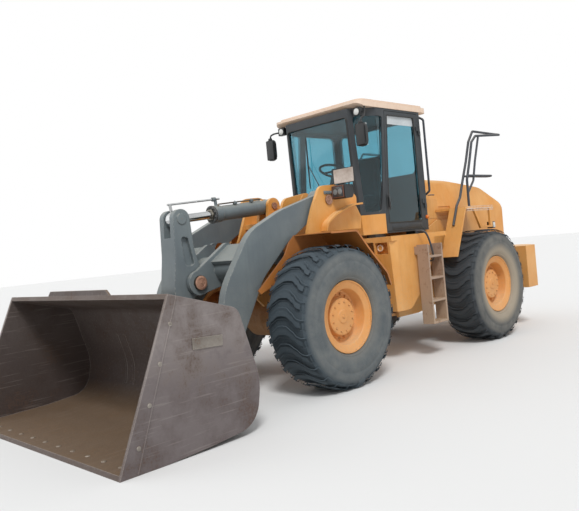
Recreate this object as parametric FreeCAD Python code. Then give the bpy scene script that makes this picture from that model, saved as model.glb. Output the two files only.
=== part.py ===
import FreeCAD, Part
import math
import os

# Articulated wheel loader, bucket flat on the ground. Millimetres, +Z up, forward is -Y, its left is +X.
# Lengths along Y are measured back from the front axle and heights from the ground. save() moves every
# piece so that the middle of the machine's length lies over the origin.

wheelbase = 3200.0
track = 2070.0
pivot_y = wheelbase / 2
bucket_tip_y = -2930.0
tail_y = wheelbase + 1870.0

running_gap = 0.05          # radial clearance of a pin or shaft in its bore
seat_gap = 0.3              # between pieces that only rest against each other
moving_gap = 6.0            # between faces that slide past each other

tyre_radius = 765.0
tyre_half_width = 285.0
tyre_lugs = 26
lug_width = 140.0
tread_depth = 38.0
bead_radius = 330.0
flange_radius = 385.0
rim_half_width = 222.0
flange_thickness = 16.0
dish_x = 60.0               # outer face of the wheel disc, out from the wheel's middle plane
hub_radius = 200.0
hub_face_x = 142.0
spindle_radius = 95.0
spindle_depth = 110.0
axle_height = tyre_radius

arm_pivot = (490.0, 2050.0)         # (y, z) of each pin across the machine
bucket_pivot = (-1395.0, 375.0)
lever_pivot = (-1080.0, 1265.0)
lever_top = (-1190.0, 1950.0)
lever_foot = (-1170.0, 480.0)
link_pivot = (-1465.0, 580.0)
tilt_base = (180.0, 2053.0)
lift_base = (600.0, 700.0)
lift_eye = (-300.0, 1600.0)
pin_radius = 50.0
small_pin_radius = 40.0
bush_radius = 105.0         # bush round the lever's pin

arm_inner_x = 530.0
arm_thickness = 90.0
tower_inner_x = 300.0
tower_plate = 40.0
tower_outer_x = 650.0
lever_half_width = 125.0
bracket_x = 137.0
bracket_thickness = 50.0
eye_half_width = 52.0
lift_cylinder_x = 440.0

bucket_half_width = 1500.0
bucket_plate = 22.0
bucket_side_plate = 30.0
bucket_mouth_y = -2370.0
bucket_mouth_z = 1290.0

hitch_top_z = 1130.0
hitch_low_z = 570.0
hitch_plate = 60.0
fork_plate = 40.0
hitch_pin_radius = 45.0
front_rail_x = 250.0
rear_rail_x = 500.0
rail_thickness = 40.0
rail_top_z = 1220.0
rail_low_z = 480.0

steer_height = 800.0
steer_base = (420.0, pivot_y + 850.0)        # (x, y) of the pins of the left steering cylinder
steer_eye = (330.0, pivot_y - 200.0)

cab_half_width = 745.0
cab_front_half_width = 540.0
cab_wall = 50.0
cab_floor_z = 1600.0
cab_sill_z = 1850.0
cab_screen_z = 2080.0
cab_roof_z = 3190.0
cab_front_y = pivot_y - 385.0                # foot of the windscreen; its head is cab_lean further forward
cab_lean = 65.0
cab_corner_y = pivot_y - 120.0               # where the tapered sides reach full width
cab_rear_y = pivot_y + 820.0
door_front_y = pivot_y - 110.0
door_lean = 160.0                            # how far the door's front post leans back over its height
door_thickness = 44.0
door_gap = 6.0
pane_thickness = 8.0

hood_half_width = 620.0
hood_front_y = cab_rear_y + 60.0
hood_tail_y = wheelbase + 1560.0
hood_low_z = rail_top_z + seat_gap        # it rests on the rails and the counterweight
hood_skin = 25.0

direction = {"x": FreeCAD.Vector(1, 0, 0), "y": FreeCAD.Vector(0, 1, 0), "z": FreeCAD.Vector(0, 0, 1)}


def vec(x, y, z):
    return FreeCAD.Vector(x, y, z)


def place(axis, a, b, level):
    """A point of a section across axis: a and b are its other two coordinates in X, Y, Z order."""
    if axis == "x":
        return vec(level, a, b)
    if axis == "y":
        return vec(a, level, b)
    return vec(a, b, level)


def corner(before, at, after, r):
    """Start, middle and end of the arc that rounds a corner: radius r, or what its sides have room for."""
    room = 0.48 * min((before - at).Length, (after - at).Length)
    u = (before - at).normalize()
    w = (after - at).normalize()
    half = u.getAngle(w) / 2
    reach = min(r / math.tan(half), room)
    r = reach * math.tan(half)
    centre = at + (u + w).normalize() * (r / math.sin(half))
    return at + u * reach, centre + (at - centre).normalize() * r, at + w * reach


def outline(axis, points, level=0.0):
    """Closed wire through points (a, b) or (a, b, corner radius)."""
    spots = [place(axis, p[0], p[1], level) for p in points]
    bends = []
    for i, p in enumerate(points):
        if len(p) > 2:
            bends.append(corner(spots[i - 1], spots[i], spots[(i + 1) % len(spots)], p[2]))
        else:
            bends.append((spots[i], None, spots[i]))
    edges = []
    for i, (start, middle, end) in enumerate(bends):
        if middle is not None:
            edges.append(Part.Arc(start, middle, end).toShape())
        following = bends[(i + 1) % len(bends)][0]
        if (following - end).Length > 1e-6:
            edges.append(Part.makeLine(end, following))
    return Part.Wire(edges)


def slab(axis, points, low, high):
    """Flat piece: the outline extruded along axis from low to high."""
    return Part.Face(outline(axis, points, low)).extrude(direction[axis] * (high - low))


def box(x0, x1, y0, y1, z0, z1):
    return Part.makeBox(x1 - x0, y1 - y0, z1 - z0, vec(x0, y0, z0))


def cylinder(axis, a, b, r, low, high):
    return Part.makeCylinder(r, high - low, place(axis, a, b, low), direction[axis])


def rod(start, end, r):
    return Part.makeCylinder(r, (end - start).Length, start, end - start)


def turned(points, y, z):
    """Solid of revolution about the X axis through (y, z); points are (x, radius)."""
    wire = Part.makePolygon([vec(x, y, z + r) for x, r in points + points[:1]])
    return Part.Face(wire).revolve(vec(0, y, z), direction["x"], 360)


def fuse(first, *others):
    return first.multiFuse(list(others)).removeSplitter()


def mirrored(shape):
    return shape.mirror(vec(0, 0, 0), direction["x"])


def pair(shape):
    return [shape, mirrored(shape)]


def bent_tube(points, r, bend):
    """Round tube along straight runs joined by arcs of radius bend."""
    edges = []
    here = points[0]
    for i in range(1, len(points) - 1):
        start, middle, end = corner(points[i - 1], points[i], points[i + 1], bend)
        edges += [Part.makeLine(here, start), Part.Arc(start, middle, end).toShape()]
        here = end
    edges.append(Part.makeLine(here, points[-1]))
    ring = Part.Wire([Part.makeCircle(r, points[0], points[1] - points[0])])
    return Part.Wire(edges).makePipeShell([ring], True, False)


def along(start, end, distance, rise=0.0):
    """Point (y, z) at distance along the line from start forwards to end, and rise above it."""
    length = math.dist(start, end)
    dy, dz = (end[0] - start[0]) / length, (end[1] - start[1]) / length
    return start[0] + dy * distance + dz * rise, start[1] + dz * distance - dy * rise


def save(node, shape):
    moved = shape.copy()
    moved.translate(vec(0, -(bucket_tip_y + tail_y) / 2, 0))
    moved.exportStep("parts/" + node + ".step")
    print(node, moved.isValid(), len(moved.Solids), round(moved.Volume / 1e9, 4), moved.BoundBox)


# Wheels

def tyre():
    """Tyre about the X axis as one skin of flat facets: smooth sides, wavy lugs across the tread."""
    pitch = 2 * math.pi / tyre_lugs
    bead = (bead_radius + seat_gap) / math.cos(pitch / 2)        # so that the flats clear the rim
    half_lug = math.asin(lug_width / 2 / tyre_radius)
    edge_turn = 0.13                    # how far round the lug's ends are set, radians
    shoulder_radius, shoulder_groove = 703.0, 652.0
    down = -math.pi / 2

    def spot(x, angle, r):
        return vec(x, r * math.cos(down + angle), r * math.sin(down + angle))

    bead_x = rim_half_width - flange_thickness - seat_gap
    sides = [(bead_x, bead), (bead_x, flange_radius + 7), (tyre_half_width, 500.0),
             (tyre_half_width - 10, 640.0)]
    edge = tyre_half_width - 16
    # across the tread: x, angle, radius of the lug's top and of the groove
    stations = [(-edge, edge_turn, shoulder_radius, shoulder_groove),
                (-75.0, 0.0, tyre_radius, tyre_radius - tread_depth),
                (75.0, 0.0, tyre_radius, tyre_radius - tread_depth),
                (edge, edge_turn, shoulder_radius, shoulder_groove)]
    rows = []
    for x, turn, top, groove in stations:
        row = []
        for k in range(tyre_lugs):
            at = turn + k * pitch
            row += [spot(x, at - half_lug - 0.005, groove),
                    spot(x, at - half_lug, top / math.cos(half_lug)),
                    spot(x, at + half_lug, top / math.cos(half_lug)),
                    spot(x, at + half_lug + 0.005, groove)]
        rows.append(row)
    triangles = []
    for a, b in zip(rows, rows[1:]):
        for j in range(len(a)):
            n = (j + 1) % len(a)
            triangles += [(a[j], a[n], b[n]), (a[j], b[n], b[j])]
    for sign, row in ((-1, rows[0]), (1, rows[-1])):
        rings = []
        for x, r in sides:
            rings.append([spot(sign * x, edge_turn + (k - 0.5) * pitch, r) for k in range(tyre_lugs)])
        for a, b in zip(rings, rings[1:]):
            for k in range(tyre_lugs):
                n = (k + 1) % tyre_lugs
                triangles += [(a[k], a[n], b[n]), (a[k], b[n], b[k])]
        for k in range(tyre_lugs):
            here, following = rings[-1][k], rings[-1][(k + 1) % tyre_lugs]
            left, top_left, top_right, right = row[4 * k:4 * k + 4]
            triangles += [(here, row[4 * k - 1], left), (here, left, top_left), (here, top_left, top_right),
                          (here, following, top_right), (following, top_right, right)]
        if sign == 1:
            for k in range(tyre_lugs):
                n = (k + 1) % tyre_lugs
                triangles += [(first[k], first[n], rings[0][n]), (first[k], rings[0][n], rings[0][k])]
        first = rings[0]
    faces = [Part.Face(Part.makePolygon([a, b, c, a])) for a, b, c in triangles]
    shell = Part.Shell(faces)
    shell.sewShape()
    return Part.Solid(shell)


def rim():
    """Deep-dish rim with its disc and planetary hub; +X is outwards."""
    w, t = rim_half_width, flange_thickness
    points = [(-w, flange_radius), (-w + t, flange_radius), (-w + t, bead_radius), (w - t, bead_radius),
              (w - t, flange_radius), (w, flange_radius), (w, 366.0), (w - 22, 298.0), (dish_x + 8, 288.0),
              (dish_x, hub_radius + 6), (hub_face_x - 20, hub_radius), (hub_face_x, hub_radius - 20),
              (hub_face_x, 70.0), (hub_face_x + 12, 60.0), (hub_face_x + 12, 0.0), (spindle_depth - 150, 0.0),
              (spindle_depth - 150, spindle_radius), (-150.0, spindle_radius), (-150.0, 170.0), (-60.0, 190.0),
              (dish_x - 26, 296.0), (-w + 32, 314.0), (-w, 352.0)]
    return turned(points, 0, 0)


def wheels():
    forward = tyre()
    metal = rim()
    backward = forward.mirror(vec(0, 0, 0), direction["y"])      # the rear tyres are fitted the other way round
    for end, y, rubber in (("front", 0.0, forward), ("rear", wheelbase, backward)):
        for side, x, hub in (("left", track / 2, metal), ("right", -track / 2, mirrored(metal))):
            for name, shape in (("tyre", rubber), ("rim", hub)):
                placed = shape.copy()
                placed.translate(vec(x, y, axle_height))
                save(name + "_" + end + "_" + side, placed)


def axle(y, nose):
    """Axle housing with spindles, mounting pads and the drive nose; nose is +1 rearwards, -1 forwards."""
    shoulder = track / 2 - 150 - moving_gap
    end = shoulder + spindle_depth
    half = [(end, 0.0), (end, spindle_radius - running_gap), (shoulder, spindle_radius - running_gap),
            (shoulder, 168.0), (shoulder - 60, 168.0), (shoulder - 110, 122.0), (330.0, 132.0), (130.0, 235.0)]
    points = half + [(-x, r) for x, r in reversed(half)]
    body = turned(points, y, axle_height)
    middle, reach = vec(0, y, axle_height), vec(0, nose * 360, 0)
    return fuse(body, rod(middle, middle + reach, 120))


# Working arm

def arm_side():
    """Left lift arm: one thick plate with its pivot bosses."""
    x0, x1 = arm_inner_x, arm_inner_x + arm_thickness
    ay, az = arm_pivot
    by, bz = bucket_pivot
    plate = slab("x", [(ay + 60, az + 118), (-230, 1955, 900), (-700, 1750, 500), (-1085, 1215, 700),
                       (-1190, 850, 300), (by - 78, bz + 70), (by + 40, bz - 98), (-940, 640, 500),
                       (-570, 1245, 600), (-160, 1600, 500), (170, 1790, 400), (ay, az - 130)], x0, x1)
    bosses = [cylinder("x", ay, az, 130, x0 - 60, x1 + 10), cylinder("x", by, bz, 105, x0 - 5, x1 + 5),
              cylinder("x", lift_eye[0], lift_eye[1], 78, lift_cylinder_x + eye_half_width + moving_gap, x0)]
    return fuse(plate, *bosses)


def lift_arms():
    tube_y, tube_z = -740.0, 1385.0
    ly, lz = lever_pivot
    parts = pair(arm_side()) + [cylinder("x", tube_y, tube_z, 135, -arm_inner_x, arm_inner_x)]
    bracket = slab("x", [(ly - 30, lz + 122), (-640, 1690, 120), (-545, 1560, 60), (-640, 1235, 80),
                         (ly + 20, lz - 126)], bracket_x, bracket_x + bracket_thickness)
    saddle = slab("x", [(-905, 1470), (-650, 1640), (-630, 1615), (-885, 1440)],
                  bracket_x + bracket_thickness, arm_inner_x)
    for shape in (bracket, cylinder("x", ly, lz, 130, bracket_x, bracket_x + bracket_thickness), saddle):
        parts += pair(shape)
    body = fuse(*parts)
    bores = [cylinder("x", *arm_pivot, pin_radius + running_gap, -800, 800),
             cylinder("x", *bucket_pivot, pin_radius + running_gap, -800, 800),
             cylinder("x", ly, lz, pin_radius + running_gap, -300, 300)]
    save("lift_arms", body.cut(bores))


def lever():
    """Tall S-shaped lever: forked at the top, pocketed at the sides, single at the foot."""
    ty, tz = lever_top
    py, pz = lever_pivot
    fy, fz = lever_foot
    w = lever_half_width
    upper = slab("x", [(ty - 104, tz), (ty - 120, 1560, 900), (py - 290, pz - 130, 500),
                       (py - 150, pz - 340, 120), (py - 10, pz - 300), (py - 60, pz - 130, 200),
                       (py + 132, pz - 20, 60), (py + 80, pz + 130, 200), (ty + 125, 1620, 600),
                       (ty + 104, tz)], -w, w)
    head = cylinder("x", ty, tz, 104, -w, w)
    boss = cylinder("x", py, pz, 130, -w, w)
    shank = slab("x", [(py - 270, pz - 180), (fy - 66, fz + 20), (fy + 66, fz + 5), (py - 60, pz - 180)],
                 -eye_half_width, eye_half_width)
    foot = cylinder("x", fy, fz, 68, -eye_half_width, eye_half_width)
    body = fuse(upper, head, boss, shank, foot)
    fork_x = eye_half_width + moving_gap
    slot = box(-fork_x, fork_x, ty - 400, ty + 400, tz - 190, tz + 200)
    pocket = slab("x", [(ty - 30, tz - 180, 30), (ty + 60, tz - 200, 30), (py + 5, pz + 190, 30),
                        (py - 110, pz + 190, 30)], w - 40, w)
    cap = cylinder("x", ty, tz, 58, w, w + 9)
    bore = cylinder("x", py, pz, bush_radius + running_gap, -w, w)
    body = body.cut([slot, pocket, mirrored(pocket), bore])
    save("lever", fuse(body, cap, mirrored(cap)))
    head_x = bracket_x + bracket_thickness + seat_gap
    head = cylinder("x", py, pz, 78, head_x, head_x + 26)
    pin = fuse(cylinder("x", py, pz, pin_radius, -head_x - 26, head_x + 26),
               cylinder("x", py, pz, bush_radius, -w, w), head, mirrored(head))
    save("lever_pin", pin)


def link():
    """Forked link from the lever's foot to the bucket; its foot end is open between the plates."""
    fy, fz = lever_foot
    cy, cz = link_pivot
    inner = eye_half_width + moving_gap
    cheek = fuse(slab("x", [(fy + 15, fz - 64), (cy + 10, cz - 66), (cy + 30, cz + 60), (fy + 5, fz + 64)],
                      inner, inner + 32),
                 cylinder("x", fy, fz, 66, inner, inner + 32), cylinder("x", cy, cz, 66, inner, inner + 32))
    body = fuse(cheek, mirrored(cheek), cylinder("x", cy, cz, 66, -inner, inner))
    save("link", body.cut(cylinder("x", cy, cz, small_pin_radius + running_gap, -200, 200)))


def bucket():
    w = bucket_half_width
    inside_x = w - bucket_side_plate
    heel_y = bucket_tip_y + 370
    outer = [(bucket_tip_y, 0), (heel_y, 0), (-2100, 22, 900), (-1590, 70, 420), (-1510, 450, 500),
             (-1690, 1090, 120), (bucket_mouth_y, bucket_mouth_z)]

    def bowl(clear):
        """Space inside the rolled plate, clear of its inner face."""
        points = [(bucket_tip_y - 10, 36 + clear), (heel_y, 34 + clear), (-2100, 48 + clear, 880 - clear),
                  (-1612 - clear, 95 + clear, 398 - clear), (-1534 - clear, 450, 478 - clear),
                  (-1708 - clear, 1074 - clear, 98 - clear),
                  (bucket_mouth_y - 40, bucket_mouth_z - 34 - clear)]
        return slab("x", points, -inside_x, inside_x)

    mouth = slab("x", [(bucket_tip_y - 60, 36), (bucket_tip_y + 8, 36),
                       (bucket_mouth_y - 12, bucket_mouth_z - 24),
                       (bucket_mouth_y - 60, bucket_mouth_z + 60),
                       (bucket_tip_y - 60, bucket_mouth_z + 60)], -inside_x, inside_x)
    parts = [slab("x", outer, -w + 2, w - 2).cut([bowl(0), mouth])]
    # wear strips down the front edges of the side plates, and the wear plate at the heel
    strip = slab("x", [(bucket_tip_y, 2), (bucket_tip_y + 150, 6), (bucket_mouth_y + 75, bucket_mouth_z - 20),
                       (bucket_mouth_y - 5, bucket_mouth_z - 10)], w - 20, w)
    parts += pair(strip)
    guard = slab("y", [(-620, bucket_mouth_z - 20), (-540, bucket_mouth_z + 46), (540, bucket_mouth_z + 46),
                       (620, bucket_mouth_z - 20)], bucket_mouth_y, bucket_mouth_y + bucket_plate)
    parts.append(guard)
    by, bz = bucket_pivot
    ear = [(by - 200, bz - 130), (by + 20, bz - 98, 60), (by + 98, bz + 10, 90), (by + 20, bz + 108, 80),
           (by - 240, bz + 420)]
    for x in (arm_inner_x - 5 - moving_gap - 36, arm_inner_x + arm_thickness + 5 + moving_gap):
        parts += pair(slab("x", ear, x, x + 36))
    cy, cz = link_pivot
    link_x = eye_half_width + 2 * moving_gap + 32
    centre_ear = [(cy - 110, cz - 90), (cy + 10, cz - 64, 50), (cy + 64, cz, 50), (cy + 10, cz + 64, 50),
                  (cy - 130, cz + 110)]
    parts += pair(slab("x", centre_ear, link_x, link_x + 36))
    parts.append(cylinder("x", cy, cz, small_pin_radius, -link_x - 44, link_x + 44))
    bore = cylinder("x", by, bz, pin_radius + running_gap, -900, 900)
    save("bucket", fuse(*parts).cut([bowl(2), bore]))
    low = arm_inner_x - 5 - moving_gap - 36 - 14
    high = arm_inner_x + arm_thickness + 5 + moving_gap + 36 + 14
    pin = fuse(cylinder("x", by, bz, pin_radius, low, high),
               cylinder("x", by, bz, 100, high - 14 + seat_gap, high + 8),
               cylinder("x", by, bz, 100, low - 8, low + 14 - seat_gap))
    save("bucket_pins", Part.makeCompound(pair(pin)))


def cylinder_pair(base, eye, x, sizes):
    """Barrel with eye and gland, and rod with eye, in the plane x between (y, z) points base and eye."""
    barrel_r, rod_r, eye_r, half, head, stub, pin_r = sizes
    start, end = vec(x, *base), vec(x, *eye)
    step = (end - start).normalize()
    tube = fuse(rod(start + step * (eye_r - 15), start + step * head, half - 4),
                rod(start + step * (eye_r + 40), start + step * head, barrel_r))
    collar = rod(start + step * (head - 90), start + step * head, barrel_r + 10)
    ring = cylinder("x", *base, eye_r, x - half, x + half)
    barrel = fuse(tube, collar, ring)
    barrel = barrel.cut([rod(start + step * (eye_r + 65), start + step * (head + 50), rod_r + running_gap),
                         cylinder("x", *base, pin_r + running_gap, x - half - 1, x + half + 1)])
    stem = rod(start + step * stub, end, rod_r)
    tip = cylinder("x", *eye, eye_r, x - half, x + half)
    return barrel, fuse(stem, tip)


def lift_cylinders():
    sizes = (76.0, 42.0, 76.0, eye_half_width - 6, 1120.0, 150.0, pin_radius)
    barrel, stem = cylinder_pair(lift_base, lift_eye, lift_cylinder_x, sizes)
    for side, turn in (("left", False), ("right", True)):
        save("lift_barrel_" + side, mirrored(barrel) if turn else barrel)
        save("lift_rod_" + side, mirrored(stem) if turn else stem)


def tilt_cylinder():
    length = math.dist(tilt_base, lever_top)
    sizes = (85.0, 45.0, 88.0, eye_half_width, 0.62 * length, 320.0, small_pin_radius)
    barrel, stem = cylinder_pair(tilt_base, lever_top, 0.0, sizes)
    # position indicator: a bar above the cylinder that moves with the rod and slides through a guide
    rise = 165.0

    def above(distance, up):
        return vec(0, *along(tilt_base, lever_top, distance, up))

    head = 0.62 * length
    bar = rod(above(length - 640, rise), above(length + 60, rise), 11.0)
    post = rod(above(length + 20, 40), above(length + 30, rise), 16.0)
    save("tilt_rod", fuse(stem, bar, post))
    guide = fuse(rod(above(head - 60, rise), above(head - 20, rise), 24.0),
                 rod(above(head - 60, 60), above(head - 60, rise), 18.0))
    run = rod(above(0.3 * length, rise), above(length + 60, rise), 11.0 + running_gap)
    save("tilt_barrel", fuse(barrel, guide).cut(run))
    lugs_x = eye_half_width + moving_gap + 52
    save("tilt_pin", cylinder("x", *tilt_base, small_pin_radius, -lugs_x, lugs_x))


def steering_cylinders():
    z = steer_height
    bx, by = steer_base
    ex, ey = steer_eye
    start, end = vec(bx, by, z), vec(ex, ey, z)
    step = (end - start).normalize()
    barrel = fuse(rod(start + step * 100, start + step * 660, 48),
                  rod(start + step * 600, start + step * 660, 56),
                  rod(start + step * 30, start + step * 110, 28),
                  cylinder("z", bx, by, 50, z - 30, z + 30))
    barrel = barrel.cut([rod(start + step * 125, start + step * 700, 26 + running_gap),
                         cylinder("z", bx, by, 25 + running_gap, z - 40, z + 40)])
    stem = fuse(rod(start + step * 360, end, 26), cylinder("z", ex, ey, 46, z - 30, z + 30))
    save("steer_barrel_left", barrel)
    save("steer_barrel_right", mirrored(barrel))
    save("steer_rod_left", stem)
    save("steer_rod_right", mirrored(stem))


# Front half

def front_frame():
    ay, az = arm_pivot
    qy, qz = tilt_base
    seat_z = axle_height + 150
    x0, x1 = tower_inner_x, tower_inner_x + tower_plate
    inner = slab("x", [(-430, 1010), (-330, seat_z), (330, seat_z), (470, 560), (650, 560), (650, 1500),
                       (ay + 128, az - 60), (ay + 128, az + 20, 60), (ay + 40, az + 128, 100),
                       (qy - 60, az + 60, 120), (-60, 1700, 200)], x0, x1)
    outer = slab("x", [(20, 1290), (100, 1720, 900), (215, 1970, 500), (365, az + 165, 120),
                       (640, az + 178, 200), (1010, 2095, 60), (995, 1975, 30), (850, 1968, 200),
                       (530, 1868, 400), (370, 1770, 200), (330, 1500, 200), (650, 1500, 60), (650, 960),
                       (560, 960, 60), (420, 1290, 100)], tower_outer_x, tower_outer_x + tower_plate)
    brow = slab("x", [(1010, 2000), (850, 1990, 200), (522, 1890, 400), (352, 1785, 200), (318, 1690), (340, 1690),
                      (370, 1770, 200), (530, 1868, 400), (850, 1968, 200), (1010, 1978)],
                tower_outer_x + tower_plate, tower_outer_x + tower_plate + 90)
    shield = slab("x", [(340, 1690), (352, 1785), (522, 1885, 400), (850, 1985, 200), (1000, 2000),
                        (1040, 1960, 40), (1112, 1840, 40), (1090, 1690)], 628, tower_outer_x)
    web = box(x1, tower_outer_x, 614, 650, 960, 1500)
    boss = cylinder("x", ay, az, 110, tower_inner_x - 20, x1 + 10)
    lug_x = eye_half_width + moving_gap
    lug = fuse(cylinder("x", qy, qz, 96, lug_x, lug_x + 42),
               slab("x", [(qy - 95, qz), (qy - 120, 1860), (qy + 190, 1860), (qy + 95, qz)],
                    lug_x, lug_x + 42))
    rail = slab("x", [(500, 520), (pivot_y - 290, 500), (pivot_y - 290, 1190), (500, 1190)],
                front_rail_x - rail_thickness, front_rail_x)
    neck = box(front_rail_x - rail_thickness, x1, 560, 600, 560, 1190)
    lift_lug = cylinder("x", *lift_base, 90, x1, lift_cylinder_x - eye_half_width)
    lift_end_x = lift_cylinder_x + eye_half_width
    lift_pin = cylinder("x", *lift_base, pin_radius, x1, lift_end_x + 10)
    lift_cap = cylinder("x", *lift_base, 66, lift_end_x + 2, lift_end_x + 14)
    parts = []
    for shape in (inner, outer, brow, shield, web, boss, lug, rail, neck, lift_lug, lift_pin, lift_cap):
        parts += pair(shape)
    parts += [box(-x0, x0, 40, 350, 1800, 1862), box(-x0, x0, -400, -360, 1000, 1420),
              box(-x0, x0, 420, 460, 1000, 1500), box(-x0, x0, -330, 500, seat_z + 95, seat_z + 135),
              box(-front_rail_x, front_rail_x, pivot_y - 330, pivot_y - 290, 500, 1190),
              box(-front_rail_x, front_rail_x, 500, pivot_y - 290, 500, 530)]
    for z in (hitch_top_z, hitch_low_z):
        parts.append(slab("z", [(-170, pivot_y - 300), (170, pivot_y - 300), (125, pivot_y + 130, 110),
                                (-125, pivot_y + 130, 110)], z - hitch_plate / 2, z + hitch_plate / 2))
    ex, ey = steer_eye
    for z in (steer_height - 76, steer_height + 36):
        parts += pair(slab("z", [(front_rail_x - 60, ey - 160), (ex + 30, ey - 50, 40), (ex + 40, ey + 40, 40),
                                 (ex - 40, ey + 50, 40), (front_rail_x - 80, ey - 90)], z, z + 40))
    body = fuse(*parts)
    bores = [cylinder("x", qy, qz, small_pin_radius + running_gap, -200, 200),
             cylinder("x", ay, az, pin_radius + running_gap, -800, 800),
             cylinder("z", 0, pivot_y, hitch_pin_radius + running_gap, 400, 1300)]
    save("front_frame", body.cut(bores))
    pin = fuse(cylinder("x", ay, az, pin_radius, tower_inner_x - 40, tower_outer_x + tower_plate + 12),
               cylinder("x", ay, az, 74, tower_inner_x - 40, tower_inner_x - 20 - seat_gap))
    save("arm_pins", Part.makeCompound(pair(pin)))
    pads = box(250, 370, -120, 120, axle_height, seat_z - seat_gap)
    save("front_axle", fuse(axle(0.0, 1), *pair(pads)))


def front_fenders():
    top = 1672.0
    outer_x = 1250.0
    x0 = tower_outer_x + tower_plate + seat_gap

    def arch(depth):
        """Fender line drawn in towards the tyre by depth."""
        return [(-140, top - depth), (280 - 0.45 * depth, top - depth, 60),
                (500 - 0.74 * depth, 1425 - 0.67 * depth, 300), (760 - depth, 1165 - 0.4 * depth, 120),
                (812 - depth, 1015)]

    panel = slab("x", arch(0) + arch(12)[::-1], x0, outer_x)
    hem = slab("x", arch(0) + arch(22)[::-1], outer_x - 10, outer_x)
    liner = slab("x", arch(0)[:3] + [(570, 1270), (570, 1010), (400, 1010), (250, 1250, 200), (-250, 1250, 300),
                                     (-700, 1090), (-735, 1130), (-315, 1460, 100), (-225, 1605)], x0, x0 + 14)
    fender = fuse(panel, hem, liner)
    save("front_fender_left", fender)
    save("front_fender_right", mirrored(fender))


def headlamps():
    lamp_y, lamp_z = 625.0, 2128.0
    x0 = tower_outer_x + tower_plate + seat_gap
    shell = slab("x", [(lamp_y - 75, lamp_z - 78, 20), (lamp_y + 80, lamp_z - 78, 50),
                       (lamp_y + 80, lamp_z + 78, 50), (lamp_y - 75, lamp_z + 78, 20)], x0 + 20, 900)
    face = box(x0 + 35, 885, lamp_y - 90, lamp_y - 75, lamp_z - 62, lamp_z + 62)
    plate = box(x0, 1000, lamp_y - 6, lamp_y + 2, lamp_z + 95, lamp_z + 270)
    stem = box(x0 + 60, x0 + 110, lamp_y - 2, lamp_y + 30, lamp_z + 70, lamp_z + 140)
    foot = box(x0, x0 + 30, lamp_y - 40, lamp_y + 40, lamp_z - 60, lamp_z)
    lamp = fuse(shell, face, foot)
    save("headlamps", Part.makeCompound([fuse(lamp, plate, stem), mirrored(lamp)]))


# Rear half

def rear_frame():
    front = pivot_y + 250
    arch_low, arch_high = wheelbase - 260, wheelbase + 260
    rail = slab("x", [(front, rail_low_z), (front, rail_top_z), (tail_y - 720, rail_top_z), (tail_y - 720, 640),
                      (arch_high + 60, 620), (arch_high, 1060, 60), (arch_low, 1060, 60), (arch_low - 60, 560),
                      (2300, rail_low_z)], rear_rail_x, rear_rail_x + rail_thickness)
    parts = pair(rail)
    for z in (hitch_top_z, hitch_low_z):
        for low in (z - hitch_plate / 2 - moving_gap - fork_plate, z + hitch_plate / 2 + moving_gap):
            fork = [(-rear_rail_x, front + 500), (-rear_rail_x, front + 60), (-120, pivot_y - 120, 105),
                    (120, pivot_y - 120, 105), (rear_rail_x, front + 60), (rear_rail_x, front + 500)]
            parts.append(slab("z", fork, low, low + fork_plate))
    for y in (2980.0, 4080.0):
        parts.append(box(-rear_rail_x, rear_rail_x, y, y + 80, 1140, rail_top_z))
    for y in (wheelbase - 420, wheelbase + 380):
        parts.append(slab("y", [(-rear_rail_x, 1190), (-rear_rail_x, 900), (-150, 600, 60), (150, 600, 60),
                                (rear_rail_x, 900), (rear_rail_x, 1190)], y, y + 40))
    bx, by = steer_base
    for low in (steer_height - 76, steer_height + 36):
        parts += pair(slab("z", [(rear_rail_x, by - 70), (bx - 20, by - 52, 40), (bx - 48, by, 40),
                                 (bx - 20, by + 52, 40), (rear_rail_x, by + 70)], low, low + 40))
    parts += pair(cylinder("z", bx, by, 25, steer_height - 76, steer_height + 76))
    body = fuse(*parts)
    trunnion = cylinder("y", 0, axle_height, 80 + seat_gap, wheelbase - 500, wheelbase + 500)
    hitch = cylinder("z", 0, pivot_y, hitch_pin_radius + seat_gap, 400, 1300)
    save("rear_frame", body.cut([trunnion, hitch]))
    pins = []
    for z in (hitch_top_z, hitch_low_z):
        half = hitch_plate / 2 + moving_gap + fork_plate
        pins.append(fuse(cylinder("z", 0, pivot_y, hitch_pin_radius, z - half - 6, z + half + 18),
                         cylinder("z", 0, pivot_y, 70, z + half + seat_gap, z + half + 18)))
    save("hitch_pins", Part.makeCompound(pins))
    trunnions = cylinder("y", 0, axle_height, 80, wheelbase - 440, wheelbase + 440)
    save("rear_axle", fuse(axle(wheelbase, -1), trunnions))
    engine = box(-330, 330, 2900, 4250, rail_top_z + seat_gap, 1950)
    save("engine_block", engine)


def counterweight():
    front = wheelbase + 1070
    body = slab("z", [(-1200, front), (-1200, front + 310, 60), (-900, tail_y - 120, 120), (-600, tail_y, 200),
                      (600, tail_y, 200), (900, tail_y - 120, 120), (1200, front + 310, 60), (1200, front)],
                590, rail_top_z)
    rail_x = rear_rail_x + rail_thickness + seat_gap
    rails = box(-rail_x, rail_x, front - 10, tail_y - 720 + seat_gap, 500, 1300)
    recess = box(-110, 110, tail_y - 210, tail_y + 10, 800, 980)
    bore = cylinder("z", 0, tail_y - 100, 27, 700, rail_top_z + 10)
    save("counterweight", body.cut([rails, recess, bore]))


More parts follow.
